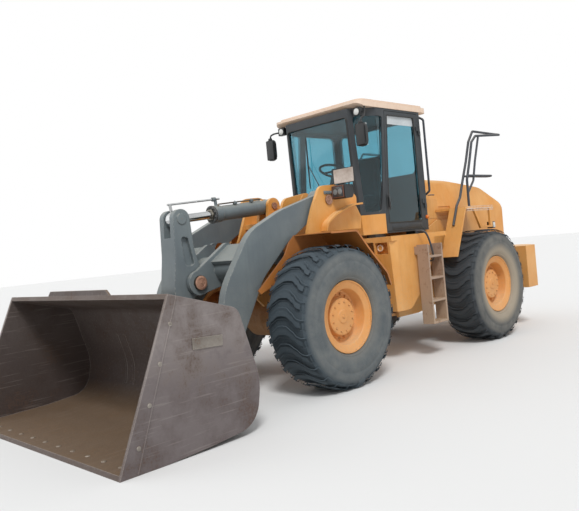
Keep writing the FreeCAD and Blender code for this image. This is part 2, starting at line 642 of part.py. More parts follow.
def hood():
    def prism(inset):
        side = slab("x", [(hood_front_y + inset, hood_low_z - 200), (hood_front_y + inset, 2320 - inset),
                          (hood_front_y + 760, 2290 - inset, 2000), (hood_tail_y - 600, 2180 - inset, 500),
                          (hood_tail_y - 60 - inset, 1900 - inset, 200), (hood_tail_y - inset, hood_low_z - 200)],
                    -900, 900)
        w = hood_half_width - inset
        foot = hood_low_z if inset == 0 else hood_low_z - 50
        rear = slab("y", [(-w, foot), (-w - 30, 1880, 300), (-w + 90, 2330 - inset, 130),
                          (w - 90, 2330 - inset, 130), (w + 30, 1880, 300), (w, foot)], 2000, 6000)
        return side.common(rear)

    panel = slab("x", [(2540, 1750, 20), (2820, 1750, 20), (2820, 2020, 20), (2540, 2020, 20)],
                 hood_half_width - 4, hood_half_width + 28)
    recess = slab("x", [(2850, 1780, 20), (3160, 1780, 20), (3160, 1910, 20), (2850, 1910, 20)],
                  hood_half_width + 14, 800)
    shell = fuse(prism(0).cut(prism(hood_skin)), *pair(panel)).cut(pair(recess))
    window = box(-430, 430, hood_tail_y - 200, hood_tail_y + 50, 1300, 1820)
    save("hood", shell.cut(window))
    frame = box(-430 + seat_gap, 430 - seat_gap, hood_tail_y - 90, hood_tail_y - 60,
                1300 + seat_gap, 1820 - seat_gap)
    slats, slat_pitch = 9, 54
    slots = []
    for k in range(slats):
        z = 1325 + k * slat_pitch
        slots.append(box(-400, 400, hood_tail_y - 100, hood_tail_y - 50, z, z + 32))
    save("radiator_grille", frame.cut(slots))


# Cab

def cab_block(inset):
    """Outer form of the cab drawn in by inset on every side."""
    nose_x, nose_y = cab_front_half_width, cab_front_y - cab_lean
    plan = Part.Face(outline("z", [(-nose_x, nose_y), (nose_x, nose_y), (cab_half_width, cab_corner_y),
                                   (cab_half_width, cab_rear_y), (-cab_half_width, cab_rear_y),
                                   (-cab_half_width, cab_corner_y)], 1000))
    if inset:
        plan = plan.makeOffset2D(-inset, 2)
    block = plan.extrude(vec(0, 0, 3000))
    side = slab("x", [(cab_front_y + inset, cab_floor_z + inset), (nose_y + inset, cab_roof_z - inset),
                      (cab_rear_y + 100, cab_roof_z - inset), (cab_rear_y + 100, cab_floor_z + inset)],
                -1000, 1000)
    return block.common(side)


def door_outline(grow):
    top = cab_roof_z - 34 + grow
    low = cab_floor_z + 25 - grow
    lean = door_lean * (top - low) / (cab_roof_z - cab_floor_z)
    return [(door_front_y - grow, low), (door_front_y + lean - grow, top), (cab_rear_y - 70 + grow, top),
            (cab_rear_y - 70 + grow, low)]


def cab():
    shell = cab_block(0).cut(cab_block(cab_wall))
    big = 2 * cab_half_width
    head = cab_roof_z - 105
    w = cab_front_half_width
    # openings through the walls: axis, outline, from, to
    front_pane = [(cab_front_y + 42, cab_sill_z + 35, 40), (cab_front_y - 6, head, 40),
                  (door_front_y + door_lean - 60, head, 30), (door_front_y - 45, cab_sill_z + 35, 30)]
    rear_side = [(door_front_y + 70, cab_sill_z + 35, 60), (door_front_y + door_lean + 40, head, 40),
                 (cab_rear_y - 110, head, 60), (cab_rear_y - 110, cab_sill_z + 35, 60)]
    screen = [(-w + 26, cab_screen_z, 70), (-w + 26, head, 50), (w - 26, head, 50), (w - 26, cab_screen_z, 70)]
    back = [(-cab_half_width + 110, 2380, 60), (-cab_half_width + 110, head, 60),
            (cab_half_width - 110, head, 60), (cab_half_width - 110, 2380, 60)]
    rows = [("x", front_pane, 0, big), ("x", front_pane, -big, 0), ("x", rear_side, -big, 0),
            ("y", screen, cab_front_y - 200, pivot_y), ("y", back, pivot_y, cab_rear_y + 200)]
    cuts = [slab(axis, points, low, high) for axis, points, low, high in rows]
    doorway = slab("x", door_outline(door_gap), cab_half_width - cab_wall - 1, big)
    layer = cab_block(20).cut(cab_block(20 + pane_thickness))
    shell = shell.cut(cuts + [doorway])
    base_zone = box(-big, big, 0, door_front_y - door_gap, 0, cab_sill_z)
    save("cab_base", shell.common(base_zone))
    hinge_z = (cab_floor_z + 300, cab_roof_z - 320)
    knuckles = []
    for z in hinge_z:
        knuckles += [cylinder("z", cab_half_width + 16, cab_rear_y - 58, 14, z, z + 60),
                     box(cab_half_width - 20, cab_half_width + 16, cab_rear_y - 60, cab_rear_y - 20, z, z + 60)]
    save("cab_shell", fuse(shell.cut(base_zone), *knuckles))
    panes = []
    for axis, points, low, high in rows:
        small = Part.Face(outline(axis, points, low)).makeOffset2D(-seat_gap)
        panes.append(layer.common(small.extrude(direction[axis] * (high - low))))
    save("cab_glass", Part.makeCompound(panes))
    return hinge_z


def door(hinge_z):
    outer_x = cab_half_width + 2
    leaf = slab("x", door_outline(0), outer_x - door_thickness, outer_x)
    opening = [(door_front_y + 52, cab_floor_z + 130, 50), (door_front_y + door_lean + 36, cab_roof_z - 82, 50),
               (cab_rear_y - 145, cab_roof_z - 82, 50), (cab_rear_y - 145, cab_floor_z + 130, 50)]
    hole = slab("x", opening, 0, 900)
    parts = [leaf.cut(hole)]
    for z in hinge_z:
        foot = z + 60 + seat_gap
        parts += [cylinder("z", cab_half_width + 16, cab_rear_y - 58, 14, foot, foot + 60),
                  box(cab_half_width + 1, cab_half_width + 16, cab_rear_y - 110, cab_rear_y - 60,
                      foot, foot + 60)]
    save("door_frame", fuse(*parts))
    small = Part.Face(outline("x", opening, outer_x - 26)).makeOffset2D(-seat_gap)
    save("door_glass", small.extrude(vec(pane_thickness, 0, 0)))


def roof():
    z = cab_roof_z + seat_gap
    front, rear, w = cab_front_y - cab_lean - 12, cab_rear_y + 190, cab_half_width + 8
    low = slab("z", [(-w, front, 90), (w, front, 90), (w, rear, 90), (-w, rear, 90)], z, z + 66)
    crown = slab("z", [(-w + 30, front + 60, 90), (w - 30, front + 60, 90), (w - 30, rear - 30, 90),
                       (-w + 30, rear - 30, 90)], z + 66, z + 98)
    ramp = slab("x", [(front - 10, z - 1), (front + 90, z - 1), (front + 90, z), (front, z + 38),
                      (front - 10, z + 38)], -w, w)
    save("cab_roof", fuse(low, crown).cut(ramp))
    lamps = []
    for x in (-cab_half_width + 75, cab_half_width - 75):
        lamps.append(box(x - 55, x + 55, front + 42, front + 106, cab_roof_z - 112, cab_roof_z - 14))
        lamps.append(box(x - 15, x + 15, front + 92, front + 106, cab_roof_z - 30, cab_roof_z))
    for x in (-cab_half_width + 120, cab_half_width - 120):
        lamps.append(box(x - 55, x + 55, cab_rear_y + 30, cab_rear_y + 90, cab_roof_z - 100, cab_roof_z - 8))
        lamps.append(box(x - 15, x + 15, cab_rear_y + 40, cab_rear_y + 80, cab_roof_z - 30, cab_roof_z))
    fused = [fuse(lamps[k], lamps[k + 1]) for k in range(0, len(lamps), 2)]
    save("work_lamps", Part.makeCompound(fused))


def cab_inside():
    floor = cab_floor_z + cab_wall + seat_gap
    seat_y = pivot_y + 330
    base = box(-200, 200, seat_y - 180, seat_y + 200, floor, floor + 330)
    save("seat_base", base)
    back = [(seat_y - 270, floor + 330 + seat_gap), (seat_y - 270, floor + 450, 50),
            (seat_y + 120, floor + 450, 60), (seat_y + 190, floor + 1080, 60),
            (seat_y + 310, floor + 1060, 60), (seat_y + 230, floor + 330 + seat_gap)]
    save("seat_cushions", slab("x", back, -240, 240))
    foot_y = cab_front_y + cab_wall + 8
    wheel_at = vec(0, cab_front_y + 235, floor + 840)
    tilt = vec(0, 150, 360).normalize()
    ring = Part.makeTorus(200, 16, wheel_at, tilt)
    spoke = rod(wheel_at + vec(-200, 0, 0), wheel_at + vec(200, 0, 0), 13)
    hub = rod(wheel_at - tilt * 30, wheel_at + tilt * 14, 45)
    steering = fuse(ring, spoke, hub, rod(wheel_at - tilt * 430, wheel_at - tilt * 20, 32))
    side_console = box(-420, -262, seat_y - 200, seat_y + 200, floor, floor + 560)
    dash = slab("x", [(foot_y, floor), (foot_y + 4, floor + 450, 40), (foot_y + 120, floor + 500, 40),
                      (foot_y + 170, floor)], -170, 170)
    save("cab_console", Part.makeCompound([fuse(dash, steering), side_console]))


# Steps, tanks, fenders, rails and mirrors

def side_boxes():
    top = 1500.0
    inner = rear_rail_x + rail_thickness + seat_gap
    front, rear = pivot_y - 390, pivot_y + 530
    left = slab("x", [(front + 30, 640), (front, top), (rear, top), (rear, 1280), (rear - 430, 800, 200),
                      (front + 290, 640, 120)], 720, 1000)
    # the front corner is taken off, clear of the front fender at full turn
    chamfer = slab("z", [(960, front - 10), (1010, front - 10), (1010, front + 150)], 600, top)
    link_left = slab("x", [(pivot_y + 260, 700), (pivot_y + 260, 1200), (rear, 1200), (rear, 1100, 100),
                           (pivot_y + 400, 700, 100)], inner, 720)
    deck = box(540, 1000, front, rear + 290, top, top + 60)
    niche = box(740, 930, front - 10, front + 80, 1350, 1490)
    horn = cylinder("y", 800, 1425, 42, front + 30, front + 80)
    box_left = fuse(fuse(left.cut(chamfer), link_left, deck).cut(niche), horn)
    save("tank_left", box_left)
    save("tank_right", mirrored(box_left))
    mounts = []
    for y in (front + 90, rear + 20):
        mounts += pair(box(560, 700, y, y + 200, top + 60 + seat_gap, cab_floor_z - seat_gap))
    save("cab_mounts", Part.makeCompound(mounts))


def ladder():
    low, high = 430.0, 1420.0
    x0, x1 = 1040.0, 1200.0
    front, rear = 1660.0, 1990.0
    parts = [box(x0, x1, front, front + 30, low, high), box(x0, x1, rear - 30, rear, low, high),
             box(1000 + seat_gap, x0, front, rear, 1300, 1400)]
    for z in (low, 700.0, 980.0, 1250.0):
        parts.append(box(x0, x1, front, rear, z, z + 26))
    save("ladder", fuse(*parts))


def rear_fenders():
    front, rear = wheelbase - 760, wheelbase + 360
    x0, x1 = hood_half_width + 35, 1130.0
    deck_z = 1860.0
    frame_x = rear_rail_x + rail_thickness + seat_gap
    wall = slab("x", [(front, 1120), (front, 1600), (front + 320, 1725), (front + 660, 1725),
                      (front + 760, deck_z - 10), (rear, deck_z - 10), (rear, 1120), (rear - 160, 1120),
                      (rear - 160, 1200), (front + 160, 1200), (front + 160, 1120)], x0, x0 + 20)
    deck = box(x0, x1, front + 324, rear, deck_z - 30, deck_z)
    plate = slab("x", [(front, 1205), (front + 24, 1205), (front + 346, deck_z), (front + 322, deck_z)], 880, x1)
    tie = slab("x", [(front, 1205), (front + 24, 1205), (front + 64, 1290), (front + 40, 1290)], x0, 880)
    legs = [box(frame_x, x0, y, y + 90, 1120, 1200) for y in (front + 20, rear - 110)]
    brace = slab("x", [(front + 520, deck_z - 30), (front + 690, 1552), (front + 1020, 1552),
                       (front + 1020, deck_z - 30), (front + 960, deck_z - 30), (front + 960, 1582),
                       (front + 730, 1582), (front + 575, deck_z - 30)], x1 - 30, x1)
    fender = fuse(wall, deck, plate, tie, brace, *legs)
    save("rear_fender_left", fender)
    save("rear_fender_right", mirrored(fender))
    return deck_z


def rails(deck_z):
    """Guard rails: one tube rises from the fender's sloping plate, the other stands on the deck."""
    r = 17.0
    x0, x1 = 1000.0, 1090.0
    slope = vec(0, 322, 655).normalize()                         # along the sloping front plate of the fender
    start = vec(x0, wheelbase - 560, 1612) + vec(0, -slope.z, slope.y) * (r + seat_gap)
    rising = [start, start + slope * 300, vec(x0, 2860, 2000), vec(x0, 2950, 2195), vec(x0, 3100, 2500),
              vec(x0, 3215, 2780), vec(x0, 3350, 2935), vec(x0, 3980, 2925)]
    standing = [vec(x1, 3980, 2900), vec(x1, 3260, 2850), vec(x1, 3140, 2760), vec(x1, 3040, 2490),
                vec(x1, 2930, 2230), vec(x1, 2925, 1930), vec(x1, 2925, deck_z + seat_gap)]
    outer = bent_tube(rising + standing, r, 40)
    hoop = bent_tube([vec(x0, 2998, 2290), vec(x0, 3640, 2290), vec(x1, 3640, 2290), vec(x1, 2955, 2290)],
                     r - 2, 40)
    strut = bent_tube([vec(x1, 3340, 2853), vec(x1, 3190, 2495), vec(x1, 3100, 2222), vec(x1, 2928, 2050)],
                      r - 2, 40)
    save("guard_rails", Part.makeCompound(pair(fuse(outer, hoop, strut))))
    x, y = cab_half_width - 45, cab_rear_y + seat_gap
    grab = bent_tube([vec(x, y, 2070), vec(x, y + 45, 2070), vec(x + 80, y + 45, 2120),
                      vec(x + 80, y + 45, 3090), vec(x, y + 45, 3140), vec(x, y, 3140)], 15, 40)
    save("grab_rail", grab)


def mirrors():
    """Mirrors hang from the roof's underside; the right one sits higher."""
    x, y = 795.0, cab_front_y - 125
    foot = vec(cab_half_width - 12, cab_front_y + 48, cab_roof_z)
    made = []
    for z in (2820.0, 2890.0):
        arm = bent_tube([foot, foot - vec(0, 0, 50), vec(x, y + 70, z + 230), vec(x, y, z + 200),
                         vec(x, y, z + 120)], 11, 40)
        head = slab("y", [(x - 78, z - 145, 70), (x + 78, z - 145, 70), (x + 78, z + 145, 70),
                          (x - 78, z + 145, 70)], y - 22, y + 22)
        made.append(fuse(arm, head))
    left, right = made
    save("mirrors", Part.makeCompound([left, mirrored(right)]))


os.makedirs("parts", exist_ok=True)
wheels()
lift_arms()
lever()
link()
bucket()
lift_cylinders()
tilt_cylinder()
steering_cylinders()
front_frame()
front_fenders()
headlamps()
rear_frame()
counterweight()
hood()
hinges = cab()
door(hinges)
roof()
cab_inside()
side_boxes()
ladder()
rails(rear_fenders())
mirrors()
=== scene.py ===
import bpy, bmesh, math
from mathutils import Matrix, Vector


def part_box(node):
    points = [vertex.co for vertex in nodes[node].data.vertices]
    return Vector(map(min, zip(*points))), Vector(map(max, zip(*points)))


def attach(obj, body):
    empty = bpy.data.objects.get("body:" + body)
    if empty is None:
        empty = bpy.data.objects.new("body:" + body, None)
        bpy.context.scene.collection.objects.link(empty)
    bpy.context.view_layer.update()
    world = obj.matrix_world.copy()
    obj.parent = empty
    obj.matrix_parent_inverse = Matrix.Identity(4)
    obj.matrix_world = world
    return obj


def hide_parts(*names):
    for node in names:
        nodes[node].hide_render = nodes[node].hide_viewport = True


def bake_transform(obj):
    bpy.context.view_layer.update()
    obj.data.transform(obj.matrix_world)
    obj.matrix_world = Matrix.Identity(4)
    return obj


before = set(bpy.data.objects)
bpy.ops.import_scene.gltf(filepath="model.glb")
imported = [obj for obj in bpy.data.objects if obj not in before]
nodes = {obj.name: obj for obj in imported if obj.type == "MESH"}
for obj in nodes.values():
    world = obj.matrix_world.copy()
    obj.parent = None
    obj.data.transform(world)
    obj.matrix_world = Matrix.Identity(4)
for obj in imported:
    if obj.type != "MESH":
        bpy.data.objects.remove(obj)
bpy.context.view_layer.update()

frontAxleY = -1.07          # lengths below are measured back from the front axle, heights from the ground
print("frame loaded", len(nodes), "nodes")


def spot(x, y, z):
    return Vector((x, y + frontAxleY, z))


def linear(hexColour):
    channels = [int(hexColour[i:i + 2], 16) / 255 for i in (1, 3, 5)]
    return [c / 12.92 if c <= 0.04045 else ((c + 0.055) / 1.055) ** 2.4 for c in channels] + [1.0]


def addNode(tree, kind, settings=None, links=None, stops=None):
    node = tree.nodes.new(kind)
    settings = settings or {}
    for key, value in settings.items():
        if isinstance(key, str) and key not in node.inputs:
            setattr(node, key, value)
    for key, value in settings.items():
        if not isinstance(key, str) or key in node.inputs:
            node.inputs[key].default_value = value
    for key, socket in (links or {}).items():
        tree.links.new(socket, node.inputs[key])
    if stops:
        ramp = node.color_ramp
        while len(ramp.elements) < len(stops):
            ramp.elements.new(0.5)
        for element, (position, shade) in zip(ramp.elements, stops):
            element.position = position
            element.color = (shade, shade, shade, 1)
    return node


def startMaterial(name):
    material = bpy.data.materials.new(name)
    material.use_nodes = True
    material.node_tree.nodes.clear()
    tree = material.node_tree
    shader = addNode(tree, "ShaderNodeBsdfPrincipled")
    addNode(tree, "ShaderNodeOutputMaterial", links={"Surface": shader.outputs[0]})
    place = addNode(tree, "ShaderNodeTexCoord").outputs["Object"]
    return material, tree, shader, place


def mixColours(tree, amount, first, second, way="MIX"):
    links = {0: amount} if not isinstance(amount, float) else {}
    settings = {"data_type": "RGBA", "blend_type": way}
    if isinstance(amount, float):
        settings[0] = amount
    for index, colour in ((6, first), (7, second)):
        if isinstance(colour, str):
            settings[index] = linear(colour)
        else:
            links[index] = colour
    return addNode(tree, "ShaderNodeMix", settings, links).outputs[2]


def maths(tree, operation, first, second, clamp=False):
    settings, links = {"operation": operation, "use_clamp": clamp}, {}
    for index, value in enumerate((first, second)):
        if isinstance(value, (int, float)):
            settings[index] = value
        else:
            links[index] = value
    return addNode(tree, "ShaderNodeMath", settings, links).outputs[0]


# Weathered paint: enamel sprayed on steel plate. Sun bleaches what faces up (on the front fenders that colour
# is a dark brown painted shade), dust settles on it and in patches, rain leaves upright streaks, and edges are
# knocked through to primer and rust.
def weatheredPaint(name, look):
    material, tree, shader, place = startMaterial(name)
    facing = addNode(tree, "ShaderNodeNewGeometry").outputs["Normal"]
    upward = addNode(tree, "ShaderNodeSeparateXYZ", links={0: facing}).outputs[2]
    height = addNode(tree, "ShaderNodeSeparateXYZ", links={0: place}).outputs[2]
    patches = addNode(tree, "ShaderNodeTexNoise",
                      {"Scale": look.get("patchScale", 1.7), "Detail": 5.0, "Roughness": 0.6},
                      {"Vector": place}).outputs[0]
    speckle = addNode(tree, "ShaderNodeTexNoise", {"Scale": 34.0, "Detail": 7.0, "Roughness": 0.68},
                      {"Vector": place}).outputs[0]
    stretched = addNode(tree, "ShaderNodeMapping", {"Scale": (19.0, 19.0, 1.3)}, {"Vector": place}).outputs[0]
    streaks = addNode(tree, "ShaderNodeTexNoise", {"Scale": 1.0, "Detail": 4.0, "Roughness": 0.6},
                      {"Vector": stretched}).outputs[0]
    topside = addNode(tree, "ShaderNodeMapRange", {"From Min": 0.25, "From Max": 0.95}, {"Value": upward}).outputs[0]
    bleach = addNode(tree, "ShaderNodeValToRGB", links={0: patches}, stops=[(0.36, 0.0), (0.68, 1.0)]).outputs[0]
    # faces pointing up take the second colour: sun bleaching on most paints, painted shade on the front fenders
    bleach = maths(tree, "MAXIMUM", maths(tree, "MULTIPLY", bleach, look.get("bleachSides", 0.45)),
                   maths(tree, "MULTIPLY", topside, look.get("bleachAndShadeTops", 0.85)))
    colour = mixColours(tree, bleach, look["paint"], look["bleached"])
    streakAmount = addNode(tree, "ShaderNodeValToRGB", links={0: streaks}, stops=[(0.5, 0.0), (0.74, 1.0)]).outputs[0]
    colour = mixColours(tree, maths(tree, "MULTIPLY", streakAmount, look.get("streaks", 0.14)), colour, look["stain"])
    dustPatch = addNode(tree, "ShaderNodeValToRGB", links={0: speckle}, stops=[(0.38, 0.0), (0.66, 1.0)]).outputs[0]
    nearGround = addNode(tree, "ShaderNodeMapRange", {"From Min": 1.5, "From Max": 0.35},
                         {"Value": height}).outputs[0]
    dustDepth = maths(tree, "ADD", maths(tree, "MULTIPLY", topside, look.get("dustTops", 0.35)),
                      maths(tree, "MULTIPLY", nearGround, look.get("dustLow", 0.5)), True)
    dustAmount = maths(tree, "MULTIPLY", maths(tree, "ADD", maths(tree, "MULTIPLY", dustPatch, 0.7), 0.3),
                       dustDepth, True)
    colour = mixColours(tree, dustAmount, colour, look.get("dust", "#b7a384"))
    rounded = addNode(tree, "ShaderNodeBevel", {"samples": 4, "Radius": look.get("edgeWidth", 0.007)}).outputs[0]
    sameWay = addNode(tree, "ShaderNodeVectorMath", {"operation": "DOT_PRODUCT"},
                      {0: rounded, 1: facing}).outputs["Value"]
    edge = addNode(tree, "ShaderNodeMapRange", {"From Min": 0.985, "From Max": 0.9}, {"Value": sameWay}).outputs[0]
    chipped = addNode(tree, "ShaderNodeValToRGB", links={0: speckle}, stops=[(0.5, 0.0), (0.58, 1.0)]).outputs[0]
    chips = maths(tree, "MULTIPLY", maths(tree, "MULTIPLY", edge, chipped), look.get("chips", 0.7))
    colour = mixColours(tree, chips, colour, look["bare"])
    spots = addNode(tree, "ShaderNodeTexNoise", {"Scale": 9.0, "Detail": 9.0, "Roughness": 0.78},
                    {"Vector": place}).outputs[0]
    rust = addNode(tree, "ShaderNodeValToRGB", links={0: spots}, stops=[(look.get("rustFrom", 0.66), 0.0),
                                                                        (look.get("rustFrom", 0.66) + 0.06,
                                                                         1.0)]).outputs[0]
    colour = mixColours(tree, maths(tree, "MULTIPLY", rust, look.get("rustDepth", 0.55)), colour,
                        look.get("rust", "#6d4326"))
    tree.links.new(colour, shader.inputs["Base Color"])
    gloss = addNode(tree, "ShaderNodeMapRange",
                    {"To Min": look.get("smoothest", 0.34), "To Max": look.get("dullest", 0.68)},
                    {"Value": maths(tree, "MAXIMUM", dustAmount, speckle)}).outputs[0]
    tree.links.new(gloss, shader.inputs["Roughness"])
    shader.inputs["IOR"].default_value = 1.5       # enamel film
    bump = addNode(tree, "ShaderNodeBump", {"Strength": 0.16, "Distance": 0.002},
                   {"Height": maths(tree, "SUBTRACT", speckle, maths(tree, "MULTIPLY", chips, 0.8)),
                    "Normal": rounded})
    tree.links.new(bump.outputs[0], shader.inputs["Normal"])
    return material


orangeEnamel = weatheredPaint("orange machine enamel, sprayed and sun-bleached", {
    "paint": "#d9923c", "bleached": "#edc083", "stain": "#9a5a26", "bare": "#7a4a2a", "dustTops": 0.3})
wheelEnamel = weatheredPaint("orange wheel enamel, dusty and chipped", {
    "paint": "#d88f42", "bleached": "#e8b57c", "stain": "#a3683a", "bare": "#6e4426", "dustLow": 0.3,
                                                                        "rustFrom": 0.62})
# the front fenders' colour for faces pointing up is a dark brown painted shade, with dust over it
fenderEnamelShadedTop = weatheredPaint("orange fender enamel, top painted dark brown as shade", {
    "paint": "#b97436", "bleached": "#5a3826", "stain": "#7d4a24", "bare": "#6b4427", "bleachAndShadeTops": 0.95,
                                                                                  "bleachSides": 0.35,
    "dustTops": 0.15, "dustLow": 0.3, "dust": "#8a7258"})
# painted shade: the axles under the fenders get a darker brown-orange base colour, with dust near the ground
underShadeEnamel = weatheredPaint("brown-orange enamel under the fenders, caked with dust", {
    "paint": "#9a6330", "bleached": "#b57f48", "stain": "#5b3a20", "bare": "#5a3a22", "dustLow": 0.45, "rustFrom": 0.58})
greyEnamel = weatheredPaint("dark grey machine enamel, scuffed", {
    "paint": "#646e73", "bleached": "#87908f", "stain": "#4a5054", "bare": "#a5a6a0", "dust": "#a59a86",
    "dustLow": 0.35, "rustDepth": 0.3, "chips": 0.9, "edgeWidth": 0.013})
creamEnamel = weatheredPaint("cream roof enamel, chalked by the sun", {
    "paint": "#e4c9b1", "bleached": "#f0dfd0", "stain": "#a57450", "bare": "#6b3f2a", "streaks": 0.1,
                                                                       "bleachAndShadeTops": 0.5})
cabPowder = weatheredPaint("charcoal powder coat on the cab frame", {
    "paint": "#2c3034", "bleached": "#4b5154", "stain": "#1d2023", "bare": "#7d7f7e", "dustTops": 0.4, "dustLow": 0.1,
    "chips": 0.35, "rustDepth": 0.1})
railEnamel = weatheredPaint("blue-black tube enamel", {
    "paint": "#2b3038", "bleached": "#454b55", "stain": "#1c1f25", "bare": "#8d7a62", "chips": 0.4, "rustDepth": 0.2})
ladderEnamel = weatheredPaint("tan step enamel, walked bare", {
    "paint": "#9c8270", "bleached": "#b59c86", "stain": "#6b5034", "bare": "#8b8177", "dustLow": 0.5,
                                                               "rustFrom": 0.56})


# Hot-rolled bucket plate: thin grey paint rubbed away by soil, rust in what is left, bright scratches; for the bucket
# also a painted shade in the bowl
def rubbedPlate(name, look):
    material, tree, shader, place = startMaterial(name)
    patches = addNode(tree, "ShaderNodeTexNoise", {"Scale": 2.3, "Detail": 8.0, "Roughness": 0.66},
                      {"Vector": place}).outputs[0]
    fine = addNode(tree, "ShaderNodeTexNoise", {"Scale": 46.0, "Detail": 8.0, "Roughness": 0.7},
                   {"Vector": place}).outputs[0]
    along = addNode(tree, "ShaderNodeMapping",
                    {"Rotation": (math.radians(look["scratchTilt"]), 0, 0), "Scale": (60.0, 2.2, 60.0)},
                    {"Vector": place}).outputs[0]
    scratches = addNode(tree, "ShaderNodeTexNoise", {"Scale": 1.0, "Detail": 3.0}, {"Vector": along}).outputs[0]
    worn = addNode(tree, "ShaderNodeValToRGB", links={0: patches}, stops=[(0.42, 0.0), (0.6, 1.0)]).outputs[0]
    colour = mixColours(tree, worn, look["paint"], look["steel"])
    if "inside" in look:
        # painted shade makes the bowl darker than the plates outside it, and those are darker towards the bottom
        across, _, height = addNode(tree, "ShaderNodeSeparateXYZ", links={0: place}).outputs
        # darker towards the bottom: below about 0.78 m the plates mix towards the low colour, the line wandering with
        # the patches
        drifted = maths(tree, "ADD", height, maths(tree, "MULTIPLY", maths(tree, "SUBTRACT", patches, 0.5), 1.8))
        low = addNode(tree, "ShaderNodeMapRange", {"From Min": 0.78, "From Max": 0.5}, {"Value": drifted}).outputs[0]
        colour = mixColours(tree, maths(tree, "MULTIPLY", low, look["lowDepth"]), colour, look["low"])
        # painted shade: faces nearer the middle than the side plates take the dark bowl colour
        bowl = addNode(tree, "ShaderNodeMapRange", {"From Min": look["insideX"], "From Max": look["insideX"] - 0.004},
                       {"Value": maths(tree, "ABSOLUTE", across, 0.0)}).outputs[0]
        colour = mixColours(tree, maths(tree, "MULTIPLY", bowl, look["insideDepth"]), colour, look["inside"])
    rust = addNode(tree, "ShaderNodeValToRGB", links={0: maths(tree, "MULTIPLY", patches, fine)},
                   stops=[(look["rustFrom"], 0.0), (look["rustFrom"] + 0.08, 1.0)]).outputs[0]
    colour = mixColours(tree, maths(tree, "MULTIPLY", rust, look["rustDepth"]), colour, look["rust"])
    lines = addNode(tree, "ShaderNodeValToRGB", links={0: scratches}, stops=[(0.6, 0.0), (0.68, 1.0)]).outputs[0]
    colour = mixColours(tree, maths(tree, "MULTIPLY", lines, look["scratches"]), colour, look["bright"])
    facing = addNode(tree, "ShaderNodeNewGeometry").outputs["Normal"]
    upward = addNode(tree, "ShaderNodeSeparateXYZ", links={0: facing}).outputs[2]
    settled = addNode(tree, "ShaderNodeMapRange", {"From Min": 0.3, "From Max": 1.0, "To Max": look["soil"]},
                      {"Value": upward}).outputs[0]
    colour = mixColours(tree, maths(tree, "MULTIPLY", settled, maths(tree, "ADD", fine, 0.3), True), colour,
                        "#8f7557")
    rounded = addNode(tree, "ShaderNodeBevel", {"samples": 4, "Radius": 0.009}).outputs[0]
    sameWay = addNode(tree, "ShaderNodeVectorMath", {"operation": "DOT_PRODUCT"},
                      {0: rounded, 1: facing}).outputs["Value"]
    edge = addNode(tree, "ShaderNodeMapRange", {"From Min": 0.99, "From Max": 0.88}, {"Value": sameWay}).outputs[0]
    colour = mixColours(tree, maths(tree, "MULTIPLY", edge, maths(tree, "ADD", fine, 0.1), True), colour,
                        look["bright"])
    tree.links.new(colour, shader.inputs["Base Color"])
    shader.inputs["Metallic"].default_value = look["metallic"]
    gloss = addNode(tree, "ShaderNodeMapRange", {"To Min": 0.38, "To Max": 0.8},
                    {"Value": maths(tree, "MAXIMUM", rust, fine)}).outputs[0]
    tree.links.new(gloss, shader.inputs["Roughness"])
    relief = maths(tree, "ADD", patches, maths(tree, "MULTIPLY", fine, 0.35))
    bump = addNode(tree, "ShaderNodeBump", {"Strength": 0.5, "Distance": 0.008},
                   {"Height": relief, "Normal": rounded})
    tree.links.new(bump.outputs[0], shader.inputs["Normal"])
    return material


# the dark bowl colour given here is painted shade
bucketPlate = rubbedPlate("hot-rolled bucket plate, paint rubbed off by soil", {
    "paint": "#857d7b", "steel": "#6a605c", "rust": "#5f4a3e", "bright": "#a59d97", "scratchTilt": 24.0,
                                                                                "scratches": 0.2,
    "rustFrom": 0.29, "rustDepth": 0.55, "soil": 0.6, "metallic": 0.25,
    "inside": "#41352f", "insideX": 1.478, "insideDepth": 0.7, "low": "#4f4547", "lowDepth": 0.5})
wornEdge = rubbedPlate("wear steel, ground bright by gravel", {
    "paint": "#8e8880", "steel": "#787068", "rust": "#74523a", "bright": "#bdb7ae", "scratchTilt": 0.0,
                                                               "scratches": 0.7,
    "rustFrom": 0.3, "rustDepth": 0.5, "soil": 0.5, "metallic": 0.45})
castIron = rubbedPlate("sand-cast iron, oily", {
    "paint": "#4c4f50", "steel": "#3f4142", "rust": "#4e3a2c", "bright": "#6d6d6b", "scratchTilt": 0.0,
                                                "scratches": 0.05,
    "rustFrom": 0.28, "rustDepth": 0.4, "soil": 0.3, "metallic": 0.2})


